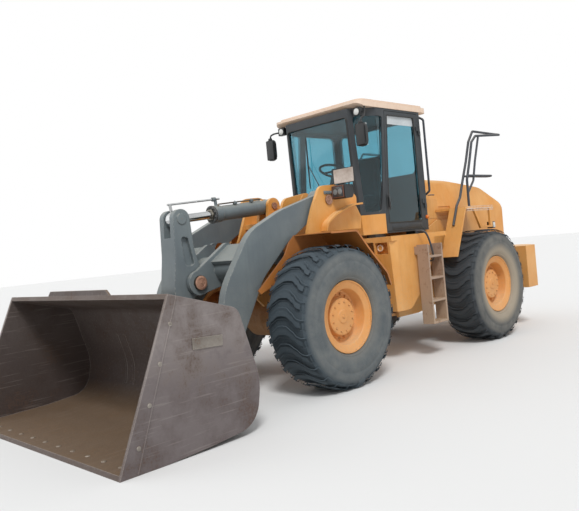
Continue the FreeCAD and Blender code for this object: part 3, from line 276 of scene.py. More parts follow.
# Vulcanised tyre rubber: matt, near-black on the tread, grey dust in the pores of the side walls, and a
# sand-coloured scuffed ring where the wall flexes. Distances are from the wheel's own axle.
def tyreRubber(name, axle, look):
    material, tree, shader, place = startMaterial(name)
    centred = addNode(tree, "ShaderNodeMapping", {"Location": (0, -axle.y, -axle.z)}, {"Vector": place}).outputs[0]
    flat = addNode(tree, "ShaderNodeVectorMath", {"operation": "MULTIPLY", 1: (0, 1, 1)}, {0: centred}).outputs[0]
    out = addNode(tree, "ShaderNodeVectorMath", {"operation": "LENGTH"}, {0: flat}).outputs["Value"]
    cloud = addNode(tree, "ShaderNodeTexNoise", {"Scale": 5.0, "Detail": 8.0, "Roughness": 0.7},
                    {"Vector": place}).outputs[0]
    pores = addNode(tree, "ShaderNodeTexNoise", {"Scale": 120.0, "Detail": 5.0, "Roughness": 0.7},
                    {"Vector": place}).outputs[0]
    wander = maths(tree, "ADD", out, maths(tree, "MULTIPLY", maths(tree, "SUBTRACT", cloud, 0.5), 0.09))
    wall = addNode(tree, "ShaderNodeMapRange", {"From Min": 0.705, "From Max": 0.655}, {"Value": wander}).outputs[0]
    dusty = addNode(tree, "ShaderNodeValToRGB", links={0: cloud}, stops=[(0.34, 0.35), (0.66, 1.0)]).outputs[0]
    colour = mixColours(tree, maths(tree, "MULTIPLY", wall, dusty), look["tread"], look["wall"])
    ring = addNode(tree, "ShaderNodeMapRange", {"From Min": look["ringTo"], "From Max": look["ringTo"] - 0.09},
                   {"Value": wander}).outputs[0]
    colour = mixColours(tree, maths(tree, "MULTIPLY", ring, look["ringDepth"]), colour, look["ring"])
    tan = addNode(tree, "ShaderNodeValToRGB", links={0: pores}, stops=[(0.5, 0.0), (0.75, 1.0)]).outputs[0]
    colour = mixColours(tree, maths(tree, "MULTIPLY", tan, 0.16), colour, "#9b8f7b")
    tree.links.new(colour, shader.inputs["Base Color"])
    shader.inputs["Roughness"].default_value = 0.82
    shader.inputs["IOR"].default_value = 1.52
    bump = addNode(tree, "ShaderNodeBump", {"Strength": 0.35, "Distance": 0.002},
                   {"Height": maths(tree, "ADD", pores, cloud)})
    tree.links.new(bump.outputs[0], shader.inputs["Normal"])
    return material


# Plain materials: one real stuff each, with the fine pattern its making leaves
def plainStuff(name, look):
    material, tree, shader, place = startMaterial(name)
    spread = addNode(tree, "ShaderNodeMapping", {"Scale": look.get("stretch", (1.0, 1.0, 1.0))},
                     {"Vector": place}).outputs[0]
    grain = addNode(tree, "ShaderNodeTexNoise", {"Scale": look.get("scale", 60.0), "Detail": 5.0, "Roughness": 0.6},
                    {"Vector": spread}).outputs[0]
    smear = addNode(tree, "ShaderNodeTexNoise", {"Scale": 4.0, "Detail": 5.0, "Roughness": 0.65},
                    {"Vector": place}).outputs[0]
    amount = maths(tree, "ADD", maths(tree, "MULTIPLY", grain, 0.5), maths(tree, "MULTIPLY", smear, 0.5))
    amount = addNode(tree, "ShaderNodeValToRGB", links={0: amount}, stops=[(0.4, 0.0), (0.62, 1.0)]).outputs[0]
    tree.links.new(mixColours(tree, amount, look["colour"], look["other"]), shader.inputs["Base Color"])
    gloss = addNode(tree, "ShaderNodeMapRange", {"To Min": look["smoothest"], "To Max": look["dullest"]},
                    {"Value": amount}).outputs[0]
    tree.links.new(gloss, shader.inputs["Roughness"])
    shader.inputs["Metallic"].default_value = look.get("metallic", 0.0)
    if "ior" in look:
        shader.inputs["IOR"].default_value = look["ior"]
    bump = addNode(tree, "ShaderNodeBump", {"Strength": look.get("relief", 0.15), "Distance": 0.001},
                   {"Height": grain})
    tree.links.new(bump.outputs[0], shader.inputs["Normal"])
    return material


rubbers = {
    "front": tyreRubber("vulcanised tyre rubber, front pair", spot(0, 0.0, 0.765), {
        "tread": "#39454d", "wall": "#686c6c", "ring": "#7c7970", "ringTo": 0.5, "ringDepth": 0.35}),
    "rear": tyreRubber("vulcanised tyre rubber, rear pair, sandy walls", spot(0, 3.2, 0.765), {
        "tread": "#343a3f", "wall": "#6d6c67", "ring": "#a79a86", "ringTo": 0.56, "ringDepth": 0.75})}
hoseRubber = plainStuff("extruded hose rubber",
                        {"colour": "#1b1c1d", "other": "#3a3937", "smoothest": 0.5, "dullest": 0.75, "ior": 1.52})
turnedSteel = plainStuff("turned pin steel, greasy",
                         {"colour": "#5c534a", "other": "#7d7468", "smoothest": 0.28, "dullest": 0.55,
                                                      "metallic": 0.9, "stretch": (1.0, 8.0, 8.0)})
rodChrome = plainStuff("hard chrome on a ground rod",
                       {"colour": "#c6c8c9", "other": "#aeb0b0", "smoothest": 0.08, "dullest": 0.2,
                                                       "metallic": 1.0, "relief": 0.03})
zincBolt = plainStuff("zinc-plated bolt steel",
                      {"colour": "#8d8a80", "other": "#6f675c", "smoothest": 0.35, "dullest": 0.6, "metallic": 0.8})
blackPlastic = plainStuff("black moulded ABS, fine spark texture",
                          {"colour": "#17191b", "other": "#2b2d2e", "smoothest": 0.42,
                                                                    "dullest": 0.62, "ior": 1.53, "scale": 220.0,
                           "relief": 0.25})
brownPlastic = plainStuff("sun-browned lamp housing ABS", {"colour": "#5a3426", "other": "#7d4c36", "smoothest": 0.35,
                                                           "dullest": 0.6, "ior": 1.53, "scale": 180.0})
rustyRing = plainStuff("machined pin steel, browned by grease and rust",
                       {"colour": "#b98f78", "other": "#8d6552", "smoothest": 0.4,
                                                                           "dullest": 0.7, "metallic": 0.15,
                        "scale": 30.0})
paleGlassBand = plainStuff("pale grey band on the door glass",
                     {"colour": "#c9ced0", "other": "#b7bdc0", "smoothest": 0.3, "dullest": 0.45, "ior": 1.5})
blankPlate = plainStuff("white-coated aluminium plate, blank",
                        {"colour": "#cfc4bb", "other": "#b3a294", "smoothest": 0.3,
                                                                "dullest": 0.5, "ior": 1.5, "scale": 14.0})
mirrorFace = plainStuff("silvered mirror glass",
                        {"colour": "#dfe3e4", "other": "#d3d8d9", "smoothest": 0.02, "dullest": 0.05,
                                                  "metallic": 1.0, "relief": 0.0})


def seatFabric():
    # woven nylon, 2 mm threads drawn at 5 mm so that they show
    material, tree, shader, place = startMaterial("woven seat nylon")
    warp = addNode(tree, "ShaderNodeTexWave", {"Scale": 32.0, "Distortion": 0.6}, {"Vector": place}).outputs[0]
    weft = addNode(tree, "ShaderNodeTexWave", {"bands_direction": "Z", "Scale": 32.0, "Distortion": 0.6},
                   {"Vector": place}).outputs[0]
    weave = maths(tree, "MULTIPLY", warp, weft)
    wear = addNode(tree, "ShaderNodeTexNoise", {"Scale": 6.0, "Detail": 4.0}, {"Vector": place}).outputs[0]
    colour = mixColours(tree, weave, "#1d2023", "#34393d")
    tree.links.new(mixColours(tree, maths(tree, "MULTIPLY", wear, 0.35), colour, "#5a564f"),
                   shader.inputs["Base Color"])
    shader.inputs["Roughness"].default_value = 0.9
    shader.inputs["Sheen Weight"].default_value = 0.25
    bump = addNode(tree, "ShaderNodeBump", {"Strength": 0.4, "Distance": 0.002}, {"Height": weave})
    tree.links.new(bump.outputs[0], shader.inputs["Normal"])
    return material


def tintedGlass():
    # green float glass: dust film on it, more in patches; the tint counts once on each face
    material, tree, shader, place = startMaterial("green-tinted safety glass")
    film = addNode(tree, "ShaderNodeTexNoise", {"Scale": 3.0, "Detail": 8.0, "Roughness": 0.7},
                   {"Vector": place}).outputs[0]
    gloss = addNode(tree, "ShaderNodeValToRGB", links={0: film}, stops=[(0.45, 0.01), (0.75, 0.12)]).outputs[0]
    tree.links.new(gloss, shader.inputs["Roughness"])
    shader.inputs["Base Color"].default_value = linear("#93c6d2")
    shader.inputs["Transmission Weight"].default_value = 1.0
    shader.inputs["IOR"].default_value = 1.45
    return material


def lampGlass(name, colour):
    material, tree, shader, place = startMaterial(name)
    ribs = addNode(tree, "ShaderNodeTexWave", {"bands_direction": "Z", "Scale": 40.0}, {"Vector": place}).outputs[0]
    shader.inputs["Base Color"].default_value = linear(colour)
    shader.inputs["Roughness"].default_value = 0.12
    shader.inputs["IOR"].default_value = 1.49
    shader.inputs["Coat Weight"].default_value = 0.6
    bump = addNode(tree, "ShaderNodeBump", {"Strength": 0.5, "Distance": 0.002}, {"Height": ribs})
    tree.links.new(bump.outputs[0], shader.inputs["Normal"])
    return material


seatCloth = seatFabric()
cabGlass = tintedGlass()
clearLens = lampGlass("pressed lamp lens", "#d9dad6")
amberLens = lampGlass("amber acrylic lens", "#d8701c")
redLens = lampGlass("red acrylic lens", "#a3201a")
dullLens = lampGlass("headlamp reflector behind smoked cover", "#7d8486")
smokedLens = lampGlass("smoked polycarbonate lamp cover", "#353b3f")
print("materials made")

nodeFinish = [
    (orangeEnamel, ["hood", "counterweight", "rear_frame", "front_frame", "rear_fender_left", "rear_fender_right",
                    "tank_left", "tank_right", "cab_base"]),
    (fenderEnamelShadedTop, ["front_fender_left", "front_fender_right"]),
    (underShadeEnamel, ["front_axle", "rear_axle"]),
    (wheelEnamel, ["rim_front_left", "rim_front_right", "rim_rear_left", "rim_rear_right"]),
    (greyEnamel, ["lift_arms", "lever", "link", "tilt_barrel", "lift_barrel_left", "lift_barrel_right",
                                "steer_barrel_left", "steer_barrel_right"]),
    (bucketPlate, ["bucket"]),
    (turnedSteel, ["bucket_pins", "lever_pin", "tilt_pin", "arm_pins", "hitch_pins"]),
    (rodChrome, ["tilt_rod", "lift_rod_left", "lift_rod_right", "steer_rod_left", "steer_rod_right"]),
    (cabPowder, ["cab_shell", "door_frame", "radiator_grille"]),
    (creamEnamel, ["cab_roof"]),
    (cabGlass, ["cab_glass", "door_glass"]),
    (seatCloth, ["seat_cushions"]),
    (blackPlastic, ["seat_base", "cab_console", "mirrors", "headlamps", "work_lamps"]),
    (hoseRubber, ["cab_mounts"]),
    (ladderEnamel, ["ladder"]),
    (railEnamel, ["guard_rails", "grab_rail"]),
    (castIron, ["engine_block"]),
    (rubbers["front"], ["tyre_front_left", "tyre_front_right"]),
    (rubbers["rear"], ["tyre_rear_left", "tyre_rear_right"])]
for material, names in nodeFinish:
    for name in names:
        if not nodes[name].material_slots:
            nodes[name].data.materials.append(None)
        for slot in nodes[name].material_slots:
            slot.material = material
print("nodes finished")


# Making a piece out of its bmesh
def finishPiece(bm, name, material, body, smooth=35, cadNodes=()):
    bmesh.ops.remove_doubles(bm, verts=bm.verts, dist=0.00002)
    bmesh.ops.recalc_face_normals(bm, faces=bm.faces)
    mesh = bpy.data.meshes.new(name)
    bm.to_mesh(mesh)
    bm.free()
    mesh.shade_smooth()
    mesh.set_sharp_from_angle(angle=math.radians(smooth))
    mesh.materials.append(material)
    piece = bpy.data.objects.new(name, mesh)
    bpy.context.scene.collection.objects.link(piece)
    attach(piece, body)
    if cadNodes:
        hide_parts(*cadNodes)
    return piece


def spinAboutX(bm, profile, steps):
    ring = [bm.verts.new((x, 0, r)) for x, r in profile]
    loop = [bm.edges.new((ring[i - 1], ring[i])) for i in range(len(ring))]
    bmesh.ops.spin(bm, geom=ring + loop, cent=(0, 0, 0), axis=(1, 0, 0), dvec=(0, 0, 0), angle=2 * math.pi,
                   steps=steps,
                   use_merge=True)


def addBolt(bm, at, axis, size=0.012, rise=0.009, washer=True):
    turn = Vector((0, 0, 1)).rotation_difference(Vector(axis)).to_matrix().to_4x4()
    if washer:
        bmesh.ops.create_cone(bm, cap_ends=True, segments=16, radius1=size * 1.45, radius2=size * 1.4,
                              depth=rise * 0.3,
                              matrix=Matrix.Translation(Vector(at) + Vector(axis) * rise * 0.13) @ turn)
    made = bmesh.ops.create_cone(bm, cap_ends=True, segments=6, radius1=size, radius2=size, depth=rise,
                                 matrix=Matrix.Translation(Vector(at) + Vector(axis) * rise * 0.6) @ turn)
    top = max(made["verts"], key=lambda v: (v.co - Vector(at)).dot(Vector(axis)))
    face = max(top.link_faces, key=lambda f: f.normal.dot(Vector(axis)))
    bmesh.ops.bevel(bm, geom=list(face.edges), offset=rise * 0.16, offset_type="OFFSET", affect="EDGES", segments=1,
                    profile=0.5, material=-1)


def addBlock(bm, low, high, edge=0.004, segments=2):
    low, high = Vector(low), Vector(high)
    made = bmesh.ops.create_cube(bm, size=1.0)
    bmesh.ops.scale(bm, vec=high - low, verts=made["verts"])
    bmesh.ops.translate(bm, vec=(low + high) / 2, verts=made["verts"])
    if edge:
        edges = list({e for v in made["verts"] for e in v.link_edges})
        grown = bmesh.ops.bevel(bm, geom=edges, offset=edge, offset_type="OFFSET", affect="EDGES", segments=segments,
                                profile=0.5, material=-1)
        return grown["verts"]
    return made["verts"]


# Turned rings are spun in a bmesh of their own and carried over
scratch = bpy.data.meshes.new("scratch")


def addTurned(bm, at, axis, profile, steps=48):
    # profile: (radius, height) pairs, height along axis
    part = bmesh.new()
    ring = [part.verts.new((radius, 0, height)) for radius, height in profile]
    edges = [part.edges.new(pair) for pair in zip(ring, ring[1:])]
    if profile[0][0] > 0 and profile[-1][0] > 0:
        edges.append(part.edges.new((ring[-1], ring[0])))
    bmesh.ops.spin(part, geom=ring + edges, cent=(0, 0, 0), axis=(0, 0, 1), dvec=(0, 0, 0), angle=2 * math.pi,
                   steps=steps,
                   use_merge=True)
    bmesh.ops.remove_doubles(part, verts=part.verts, dist=0.00002)
    turn = Vector((0, 0, 1)).rotation_difference(Vector(axis)).to_matrix().to_4x4()
    part.transform(Matrix.Translation(Vector(at)) @ turn)
    part.to_mesh(scratch)
    part.free()
    bm.from_mesh(scratch)


# Tyres: smooth carcass with bead, sidewall rings and wavy lugs; the rear pair is fitted the other way round
tyreSizes = {"radius": 0.765, "tread": 0.727, "lugs": 26, "lugHalf": 0.064, "carcassSteps": 96,
             "wall": [(0.2057, 0.331), (0.2057, 0.389), (0.226, 0.392), (0.245, 0.402), (0.2535, 0.409),
                      (0.2525, 0.417),
                      (0.264, 0.43), (0.276, 0.462), (0.282, 0.5), (0.2845, 0.54), (0.2835, 0.575), (0.2795, 0.583),
                      (0.2795, 0.592), (0.2815, 0.598), (0.278, 0.63), (0.27, 0.668), (0.258, 0.698), (0.238, 0.72),
                      (0.2, 0.727), (0.1, 0.727)],
             "wave": [(0.0, -0.05), (0.22, -0.045), (0.5, 0.0), (0.74, 0.058), (0.86, 0.07), (1.0, 0.074)],
             "crown": [(0.0, 0.765), (0.55, 0.765), (0.84, 0.7595), (0.93, 0.744), (1.0, 0.706)]}


def between(table, value):
    for (a, first), (b, second) in zip(table, table[1:]):
        if value <= b:
            t = (value - a) / (b - a)
            t = t * t * (3 - 2 * t)
            return first + (second - first) * t
    return table[-1][1]


def makeTyre(end, side, centre, way):
    bm = bmesh.new()
    spinAboutX(bm, tyreSizes["wall"] + [(-x, r) for x, r in reversed(tyreSizes["wall"])], tyreSizes["carcassSteps"])
    made = bmesh.ops.create_grid(bm, x_segments=18, y_segments=4, size=1.0)
    raised = bmesh.ops.extrude_face_region(bm, geom=list({f for v in made["verts"] for f in v.link_faces}),
                                           use_keep_orig=True)
    tops = [g for g in raised["geom"] if isinstance(g, bmesh.types.BMVert)]
    for verts, isTop in ((made["verts"], False), (tops, True)):
        for v in verts:
            across, along = v.co.x, v.co.y
            radius = between(tyreSizes["crown"],
                             abs(across)) if isTop else 0.7 - 0.05 * max(0.0, abs(across) - 0.8) / 0.2
            half = tyreSizes["lugHalf"] - 0.008 * abs(across) + (-0.003 if isTop else 0.009)
            angle = (way * between(tyreSizes["wave"], abs(across)) + along * half) / tyreSizes["radius"]
            v.co = (0.269 * across, radius * math.sin(angle), -radius * math.cos(angle))
    topSet = set(tops)
    rim = [e for v in tops for e in v.link_edges if e.verts[0] in topSet and e.verts[1] in topSet
           and any(not all(w in topSet for w in f.verts) for f in e.link_faces)]
    lugFaces = list({f for v in made["verts"] + tops for f in v.link_faces})
    bmesh.ops.recalc_face_normals(bm, faces=lugFaces)
    grown = bmesh.ops.bevel(bm, geom=list(set(rim)), offset=0.006, offset_type="OFFSET", affect="EDGES",
                            segments=2, profile=0.5,
                            material=-1)
    lugFaces = list({f for f in lugFaces if f.is_valid} | set(grown["faces"]))
    for k in range(1, tyreSizes["lugs"]):
        copy = bmesh.ops.duplicate(bm, geom=lugFaces)
        bmesh.ops.rotate(bm, cent=(0, 0, 0), matrix=Matrix.Rotation(2 * math.pi * k / tyreSizes["lugs"], 3, "X"),
                         verts=[g for g in copy["geom"] if isinstance(g, bmesh.types.BMVert)])
    bmesh.ops.translate(bm, vec=centre, verts=bm.verts)
    return finishPiece(bm, "rubber_" + end + "_" + side, rubbers[end], "wheel_" + end + "_" + side, 28,
                       ["tyre_" + end + "_" + side])


# Rims: rolled flange, shallow cone, deep drum with its cover bolts
rimSizes = {"outer": [(0.2218, 0.3845), (0.2215, 0.367), (0.2165, 0.36), (0.2015, 0.3), (0.196, 0.2945),
                      (0.188, 0.2925),
                      (0.09, 0.2885), (0.074, 0.28), (0.0655, 0.262), (0.062, 0.222), (0.066, 0.211), (0.118, 0.2015),
                      (0.132, 0.198), (0.141, 0.187), (0.142, 0.18), (0.142, 0.079), (0.144, 0.074), (0.152, 0.067),
                      (0.154, 0.058), (0.154, 0.0)],
            "inner": [(-0.04, 0.0), (-0.04, 0.095), (-0.15, 0.095), (-0.15, 0.165), (-0.06, 0.19), (0.034, 0.292),
                      (-0.19, 0.312),
                      (-0.2175, 0.352), (-0.222, 0.3845), (-0.2065, 0.3845), (-0.206, 0.3305), (0.2055, 0.3305),
                      (0.2065, 0.3845)],
            "lip": [(0.3665, 0.2205), (0.3675, 0.2265), (0.3725, 0.2285), (0.3835, 0.2275), (0.3845, 0.2205)],
            "coverBolts": 12, "discBolts": 20}


def makeRim(end, side, centre, way):
    bm = bmesh.new()
    spinAboutX(bm, rimSizes["outer"] + rimSizes["inner"], 96)
    bmesh.ops.remove_doubles(bm, verts=bm.verts, dist=0.00002)
    for k in range(rimSizes["coverBolts"]):
        a = 2 * math.pi * (k + 0.5) / rimSizes["coverBolts"]
        addBolt(bm, (0.142, 0.158 * math.cos(a), 0.158 * math.sin(a)), (1, 0, 0), 0.0095, 0.011)
    for k in range(rimSizes["discBolts"]):
        a = 2 * math.pi * k / rimSizes["discBolts"]
        addBolt(bm, (0.0635, 0.244 * math.cos(a), 0.244 * math.sin(a)), (1, 0, 0), 0.013, 0.018)
    addBolt(bm, (0.154, 0.0, 0.0), (1, 0, 0), 0.016, 0.008)
    addTurned(bm, (0, 0, 0), (1, 0, 0), rimSizes["lip"], 96)
    if way < 0:
        bmesh.ops.scale(bm, vec=(-1, 1, 1), verts=bm.verts)
    bmesh.ops.translate(bm, vec=centre, verts=bm.verts)
    return finishPiece(bm, "wheel_" + end + "_" + side + "_steel", wheelEnamel, "wheel_" + end + "_" + side,
                       32,
                       ["rim_" + end + "_" + side])


for end, y, way in (("front", 0.0, 1), ("rear", 3.2, -1)):
    for side, x, out in (("left", 1.035, 1), ("right", -1.035, -1)):
        makeTyre(end, side, spot(x, y, 0.765), way)
        makeRim(end, side, spot(x, y, 0.765), out)
print("wheels made")


# Trim and fittings: bent pipes and seals
def makePipes(name, material, body, radius, routes, closed=False):
    curve = bpy.data.curves.new(name, "CURVE")
    curve.dimensions = "3D"
    curve.bevel_depth = radius
    curve.bevel_resolution = 3
    curve.resolution_u = 5
    curve.use_fill_caps = True
    for route in routes:
        spline = curve.splines.new("NURBS")
        spline.points.add(len(route) - 1)
        for point, at in zip(spline.points, route):
            point.co = (*at, 1.0)
        spline.order_u = 3
        spline.use_cyclic_u = closed
        spline.use_endpoint_u = not closed
    curve.materials.append(material)
    piece = bpy.data.objects.new(name, curve)
    bpy.context.scene.collection.objects.link(piece)
    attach(piece, body)
    return piece


def sealLoop(corners, cut):
    # points for a closed seal: two beside each corner, so that the bend stays short
    route = []
    for k, corner in enumerate(corners):
        before, after = corners[k - 1], corners[(k + 1) % len(corners)]
        for other in (before, after):
            route.append(corner + (other - corner).normalized() * cut)
        route.insert(-1, corner)
    return route


lampSizes = {"headX": (0.725, 0.885), "headZ": (2.066, 2.19), "faceY": 0.535, "eyeRadius": 0.029, "workX": 0.67,
             "workY": 1.18,
             "workZ": 3.127, "workRadius": 0.043, "rearX": 0.625, "rearY": 2.51, "rearZ": 3.136}
for side, way in (("left", 1), ("right", -1)):
    (x0, x1), (z0, z1), y = lampSizes["headX"], lampSizes["headZ"], lampSizes["faceY"]
    bm = bmesh.new()
    ends = sorted((way * x0, way * x1))
    addBlock(bm, spot(ends[0] - 0.008, y - 0.004, z0 - 0.008), spot(ends[1] + 0.008, y + 0.012, z1 + 0.008), 0.005)
    face = min(bm.faces, key=lambda f: f.calc_center_median().y)
    bmesh.ops.inset_region(bm, faces=[face], thickness=0.012, depth=0.0)
    bmesh.ops.translate(bm, vec=(0, 0.006, 0), verts=face.verts)
    for x in (ends[0] + 0.03, ends[1] - 0.03):
        addBolt(bm, spot(x, y - 0.004, z0 - 0.001), (0, -1, 0), 0.004, 0.003, False)
    finishPiece(bm, "headlamp_bezel_" + side, brownPlastic, "front_body")
    bm = bmesh.new()
    addBlock(bm, spot(ends[0] + 0.006, y - 0.0025, z0 + 0.006), spot(ends[1] - 0.006, y + 0.004, z1 - 0.006), 0.002)
    finishPiece(bm, "headlamp_glass_" + side, smokedLens, "front_body")
    bm = bmesh.new()
    for x in (ends[0] + 0.043, ends[1] - 0.043):
        r = lampSizes["eyeRadius"]
        addTurned(bm, spot(x, y - 0.0025, (z0 + z1) / 2), (0, -1, 0),
                  [(0, 0.003), (r * 0.5, 0.0025), (r * 0.85, 0.0015), (r, 0.002),
                                                                      (r * 1.08, 0.001), (r * 1.08, -0.001),
                   (0, -0.001)])
    finishPiece(bm, "headlamp_eyes_" + side, dullLens, "front_body")
    bm = bmesh.new()
    r = lampSizes["workRadius"]
    dome = [(0, 0.014), (r * 0.45, 0.0125), (r * 0.8, 0.008), (r * 0.97, 0.003), (r, -0.002), (0, -0.002)]
    addTurned(bm, spot(way * lampSizes["workX"], lampSizes["workY"], lampSizes["workZ"]), (0, -1, 0), dome)
    addTurned(bm, spot(way * lampSizes["rearX"], lampSizes["rearY"], lampSizes["rearZ"]), (0, 1, 0), dome)
    finishPiece(bm, "work_lamp_glass_" + side, clearLens, "rear_body")
    bm = bmesh.new()
    rim = [(r * 1.02, -0.001), (r * 1.02, 0.006), (r * 1.1, 0.009), (r * 1.18, 0.006), (r * 1.18, -0.001)]
    addTurned(bm, spot(way * lampSizes["workX"], lampSizes["workY"], lampSizes["workZ"]), (0, -1, 0), rim)
    addTurned(bm, spot(way * lampSizes["rearX"], lampSizes["rearY"], lampSizes["rearZ"]), (0, 1, 0), rim)
    for y, facing in ((lampSizes["workY"] + 0.04, -1), (lampSizes["rearY"] - 0.03, 1)):
        x = lampSizes["workX"] if facing < 0 else lampSizes["rearX"]
        addBolt(bm, spot(way * (x + 0.055), y, lampSizes["workZ"]), (way, 0, 0), 0.009, 0.008)
    finishPiece(bm, "work_lamp_rim_" + side, blackPlastic, "rear_body")
print("front lamps made")

# Rear lamps hang under the fender's rear brace: moulded body, red and clear glass
rearLampSizes = {"x": (1.035, 1.126), "y": (3.466, 3.55), "z": (1.535, 1.63)}
for side, way in (("left", 1), ("right", -1)):
    (x0, x1), (y0, y1), (z0, z1) = (rearLampSizes[k] for k in "xyz")
    low, high = sorted((way * x0, way * x1))
    bm = bmesh.new()
    addBlock(bm, spot(low, y0, z0), spot(high, y1 - 0.012, z1), 0.008)
    addBlock(bm, spot(low + 0.02, y0 - 0.03, z1 - 0.045), spot(high - 0.02, y0 + 0.01, z1 - 0.012), 0.003)
    finishPiece(bm, "rear_lamp_body_" + side, blackPlastic, "rear_body")
    for part, glass, a, b in (("stop", redLens, 0.0, 0.48), ("turn", amberLens, 0.52, 1.0)):
        bm = bmesh.new()
        addBlock(bm, spot(low + 0.004, y1 - 0.013, z0 + (z1 - z0) * a + 0.003),
                 spot(high - 0.004, y1, z0 + (z1 - z0) * b - 0.003), 0.005)
        finishPiece(bm, "rear_lamp_" + part + "_" + side, glass, "rear_body")
    bm = bmesh.new()
    low, high = sorted((way * x1, way * x1 + way * 0.006))
    addBlock(bm, spot(low, y0 + 0.01, z0 + 0.012), spot(high, y1 - 0.02, z1 - 0.012), 0.002)
    finishPiece(bm, "side_marker_" + side, clearLens, "rear_body")

# Amber lamp behind the door, and the socket on the roof that a beacon plugs into
markerSizes = {"at": (0.747, 2.39, 1.775),
               "dome": [(0, 0.03), (0.014, 0.028), (0.023, 0.02), (0.026, 0.008), (0.026, 0), (0, 0)]}
bm = bmesh.new()
addTurned(bm, spot(*markerSizes["at"]), (1, 0, 0), markerSizes["dome"])
finishPiece(bm, "cab_marker_lamp", amberLens, "rear_body")
socketSizes = {"at": (0.26, 1.46, 3.2875), "boltRing": 0.036, "boltRise": 0.0135, "bolts": 3,
               "cup": [(0, 0.034), (0.018, 0.034), (0.02, 0.031), (0.02, 0.016), (0.047, 0.013), (0.052, 0.009),
                       (0.054, 0.0), (0, 0.0)]}
bm = bmesh.new()
addTurned(bm, spot(*socketSizes["at"]), (0, 0, 1), socketSizes["cup"])
for k in range(socketSizes["bolts"]):
    a = 2 * math.pi * k / socketSizes["bolts"]
    ring = Vector((math.cos(a), math.sin(a), 0)) * socketSizes["boltRing"]
    addBolt(bm, spot(*socketSizes["at"]) + ring + Vector((0, 0, socketSizes["boltRise"])), (0, 0, 1), 0.005, 0.005)
finishPiece(bm, "beacon_socket", blackPlastic, "rear_body")
print("rear lamps made")

# Blank plate above the left headlamp: coated aluminium with a pressed border
plateSizes = {"x": (0.697, 0.993), "z": (2.23, 2.391), "faceY": 0.619}
bm = bmesh.new()
(x0, x1), (z0, z1) = plateSizes["x"], plateSizes["z"]
addBlock(bm, spot(x0, plateSizes["faceY"] - 0.003, z0), spot(x1, plateSizes["faceY"] - 0.0005, z1), 0.0008)
face = min(bm.faces, key=lambda f: f.calc_center_median().y)
bmesh.ops.inset_region(bm, faces=[face], thickness=0.007, depth=0.0)
bmesh.ops.inset_region(bm, faces=[face], thickness=0.004, depth=0.0)
bmesh.ops.translate(bm, vec=(0, 0.0015, 0), verts=face.verts)
for x in (x0 + 0.06, x1 - 0.06):
    addBolt(bm, spot(x, plateSizes["faceY"] - 0.003, z1 - 0.02), (0, -1, 0), 0.005, 0.004)
finishPiece(bm, "blank_plate", blankPlate, "front_body")

# Mirrors: silvered glass in a moulded shell
mirrorSizes = {"x": 0.795, "y": 1.09, "half": (0.078, 0.145), "heads": {"left": 2.82, "right": 2.89}}
for side, way in (("left", 1), ("right", -1)):
    z, (halfX, halfZ), y = mirrorSizes["heads"][side], mirrorSizes["half"], mirrorSizes["y"]
    x = way * mirrorSizes["x"]
    bm = bmesh.new()
    addBlock(bm, spot(x - halfX + 0.012, y + 0.0215, z - halfZ + 0.012),
             spot(x + halfX - 0.012, y + 0.0235, z + halfZ - 0.012), 0.0008)
    finishPiece(bm, "mirror_glass_" + side, mirrorFace, "rear_body")
    bm = bmesh.new()
    addBlock(bm, spot(x - halfX + 0.01, y - 0.034, z - halfZ + 0.012),
             spot(x + halfX - 0.01, y - 0.019, z + halfZ - 0.012), 0.013, 4)
    addBlock(bm, spot(x - 0.02, y - 0.03, z + halfZ - 0.05), spot(x + 0.02, y + 0.012, z + halfZ + 0.02), 0.006)
    for dz in (-0.006, -0.032):
        addBolt(bm, spot(x, y - 0.03, z + halfZ + dz), (0, -1, 0), 0.006, 0.005)
    finishPiece(bm, "mirror_shell_" + side, blackPlastic, "rear_body")
print("plate and mirrors made")

# Seals round the windscreen and the door glass, wiper, door handle, pale band at the head of the door glass
glassSizes = {"screenHalf": 0.516, "screenLow": 2.078, "screenHigh": 3.087, "doorX": 0.7475,
              "door": [(1.542, 1.73), (1.686, 3.108), (2.275, 3.108), (2.275, 1.73)], "paleBandLow": 2.995}


def screenY(z):
    return 1.215 - (z - 1.6) * 65 / 1590


halfX = glassSizes["screenHalf"]
screenCorners = [spot(x, screenY(z) - 0.001, z) for x,
                 z in ((-halfX, glassSizes["screenLow"]), (-halfX, glassSizes["screenHigh"]),
                                                             (halfX, glassSizes["screenHigh"]),
                       (halfX, glassSizes["screenLow"]))]
makePipes("windscreen_seal", hoseRubber, "rear_body", 0.009, [sealLoop(screenCorners, 0.07)], True)
doorCorners = [spot(glassSizes["doorX"] - 0.002, y, z) for y, z in glassSizes["door"]]
makePipes("door_seal", hoseRubber, "door", 0.008, [sealLoop(doorCorners, 0.055)], True)
z0, z1 = 2.055, 2.62
makePipes("wiper_arm", blackPlastic, "rear_body", 0.006,
          [[spot(0.06, screenY(z0) - 0.005, z0), spot(0.06, screenY(z0) - 0.03, z0 + 0.01),
            spot(0.05, screenY(z0) - 0.032, z0 + 0.08),
            spot(-0.20, screenY(z1) - 0.03, z1)],
           [spot(-0.21, screenY(2.3) - 0.018, 2.3), spot(-0.2, screenY(z1) - 0.024, z1),
                                                    spot(-0.19, screenY(2.94) - 0.018, 2.94)]])
bm = bmesh.new()
addTurned(bm, spot(0.06, screenY(z0) + 0.002, z0), (0, -1, 0),
          [(0, 0.036), (0.012, 0.034), (0.018, 0.024), (0.02, 0.0), (0, 0.0)])
finishPiece(bm, "wiper_hub", blackPlastic, "rear_body")
makePipes("wiper_blade", hoseRubber, "rear_body", 0.005,
          [[spot(-0.213, screenY(2.28) - 0.009, 2.28), spot(-0.2, screenY(2.6) - 0.009, 2.6),
            spot(-0.187, screenY(2.96) - 0.009, 2.96)]])
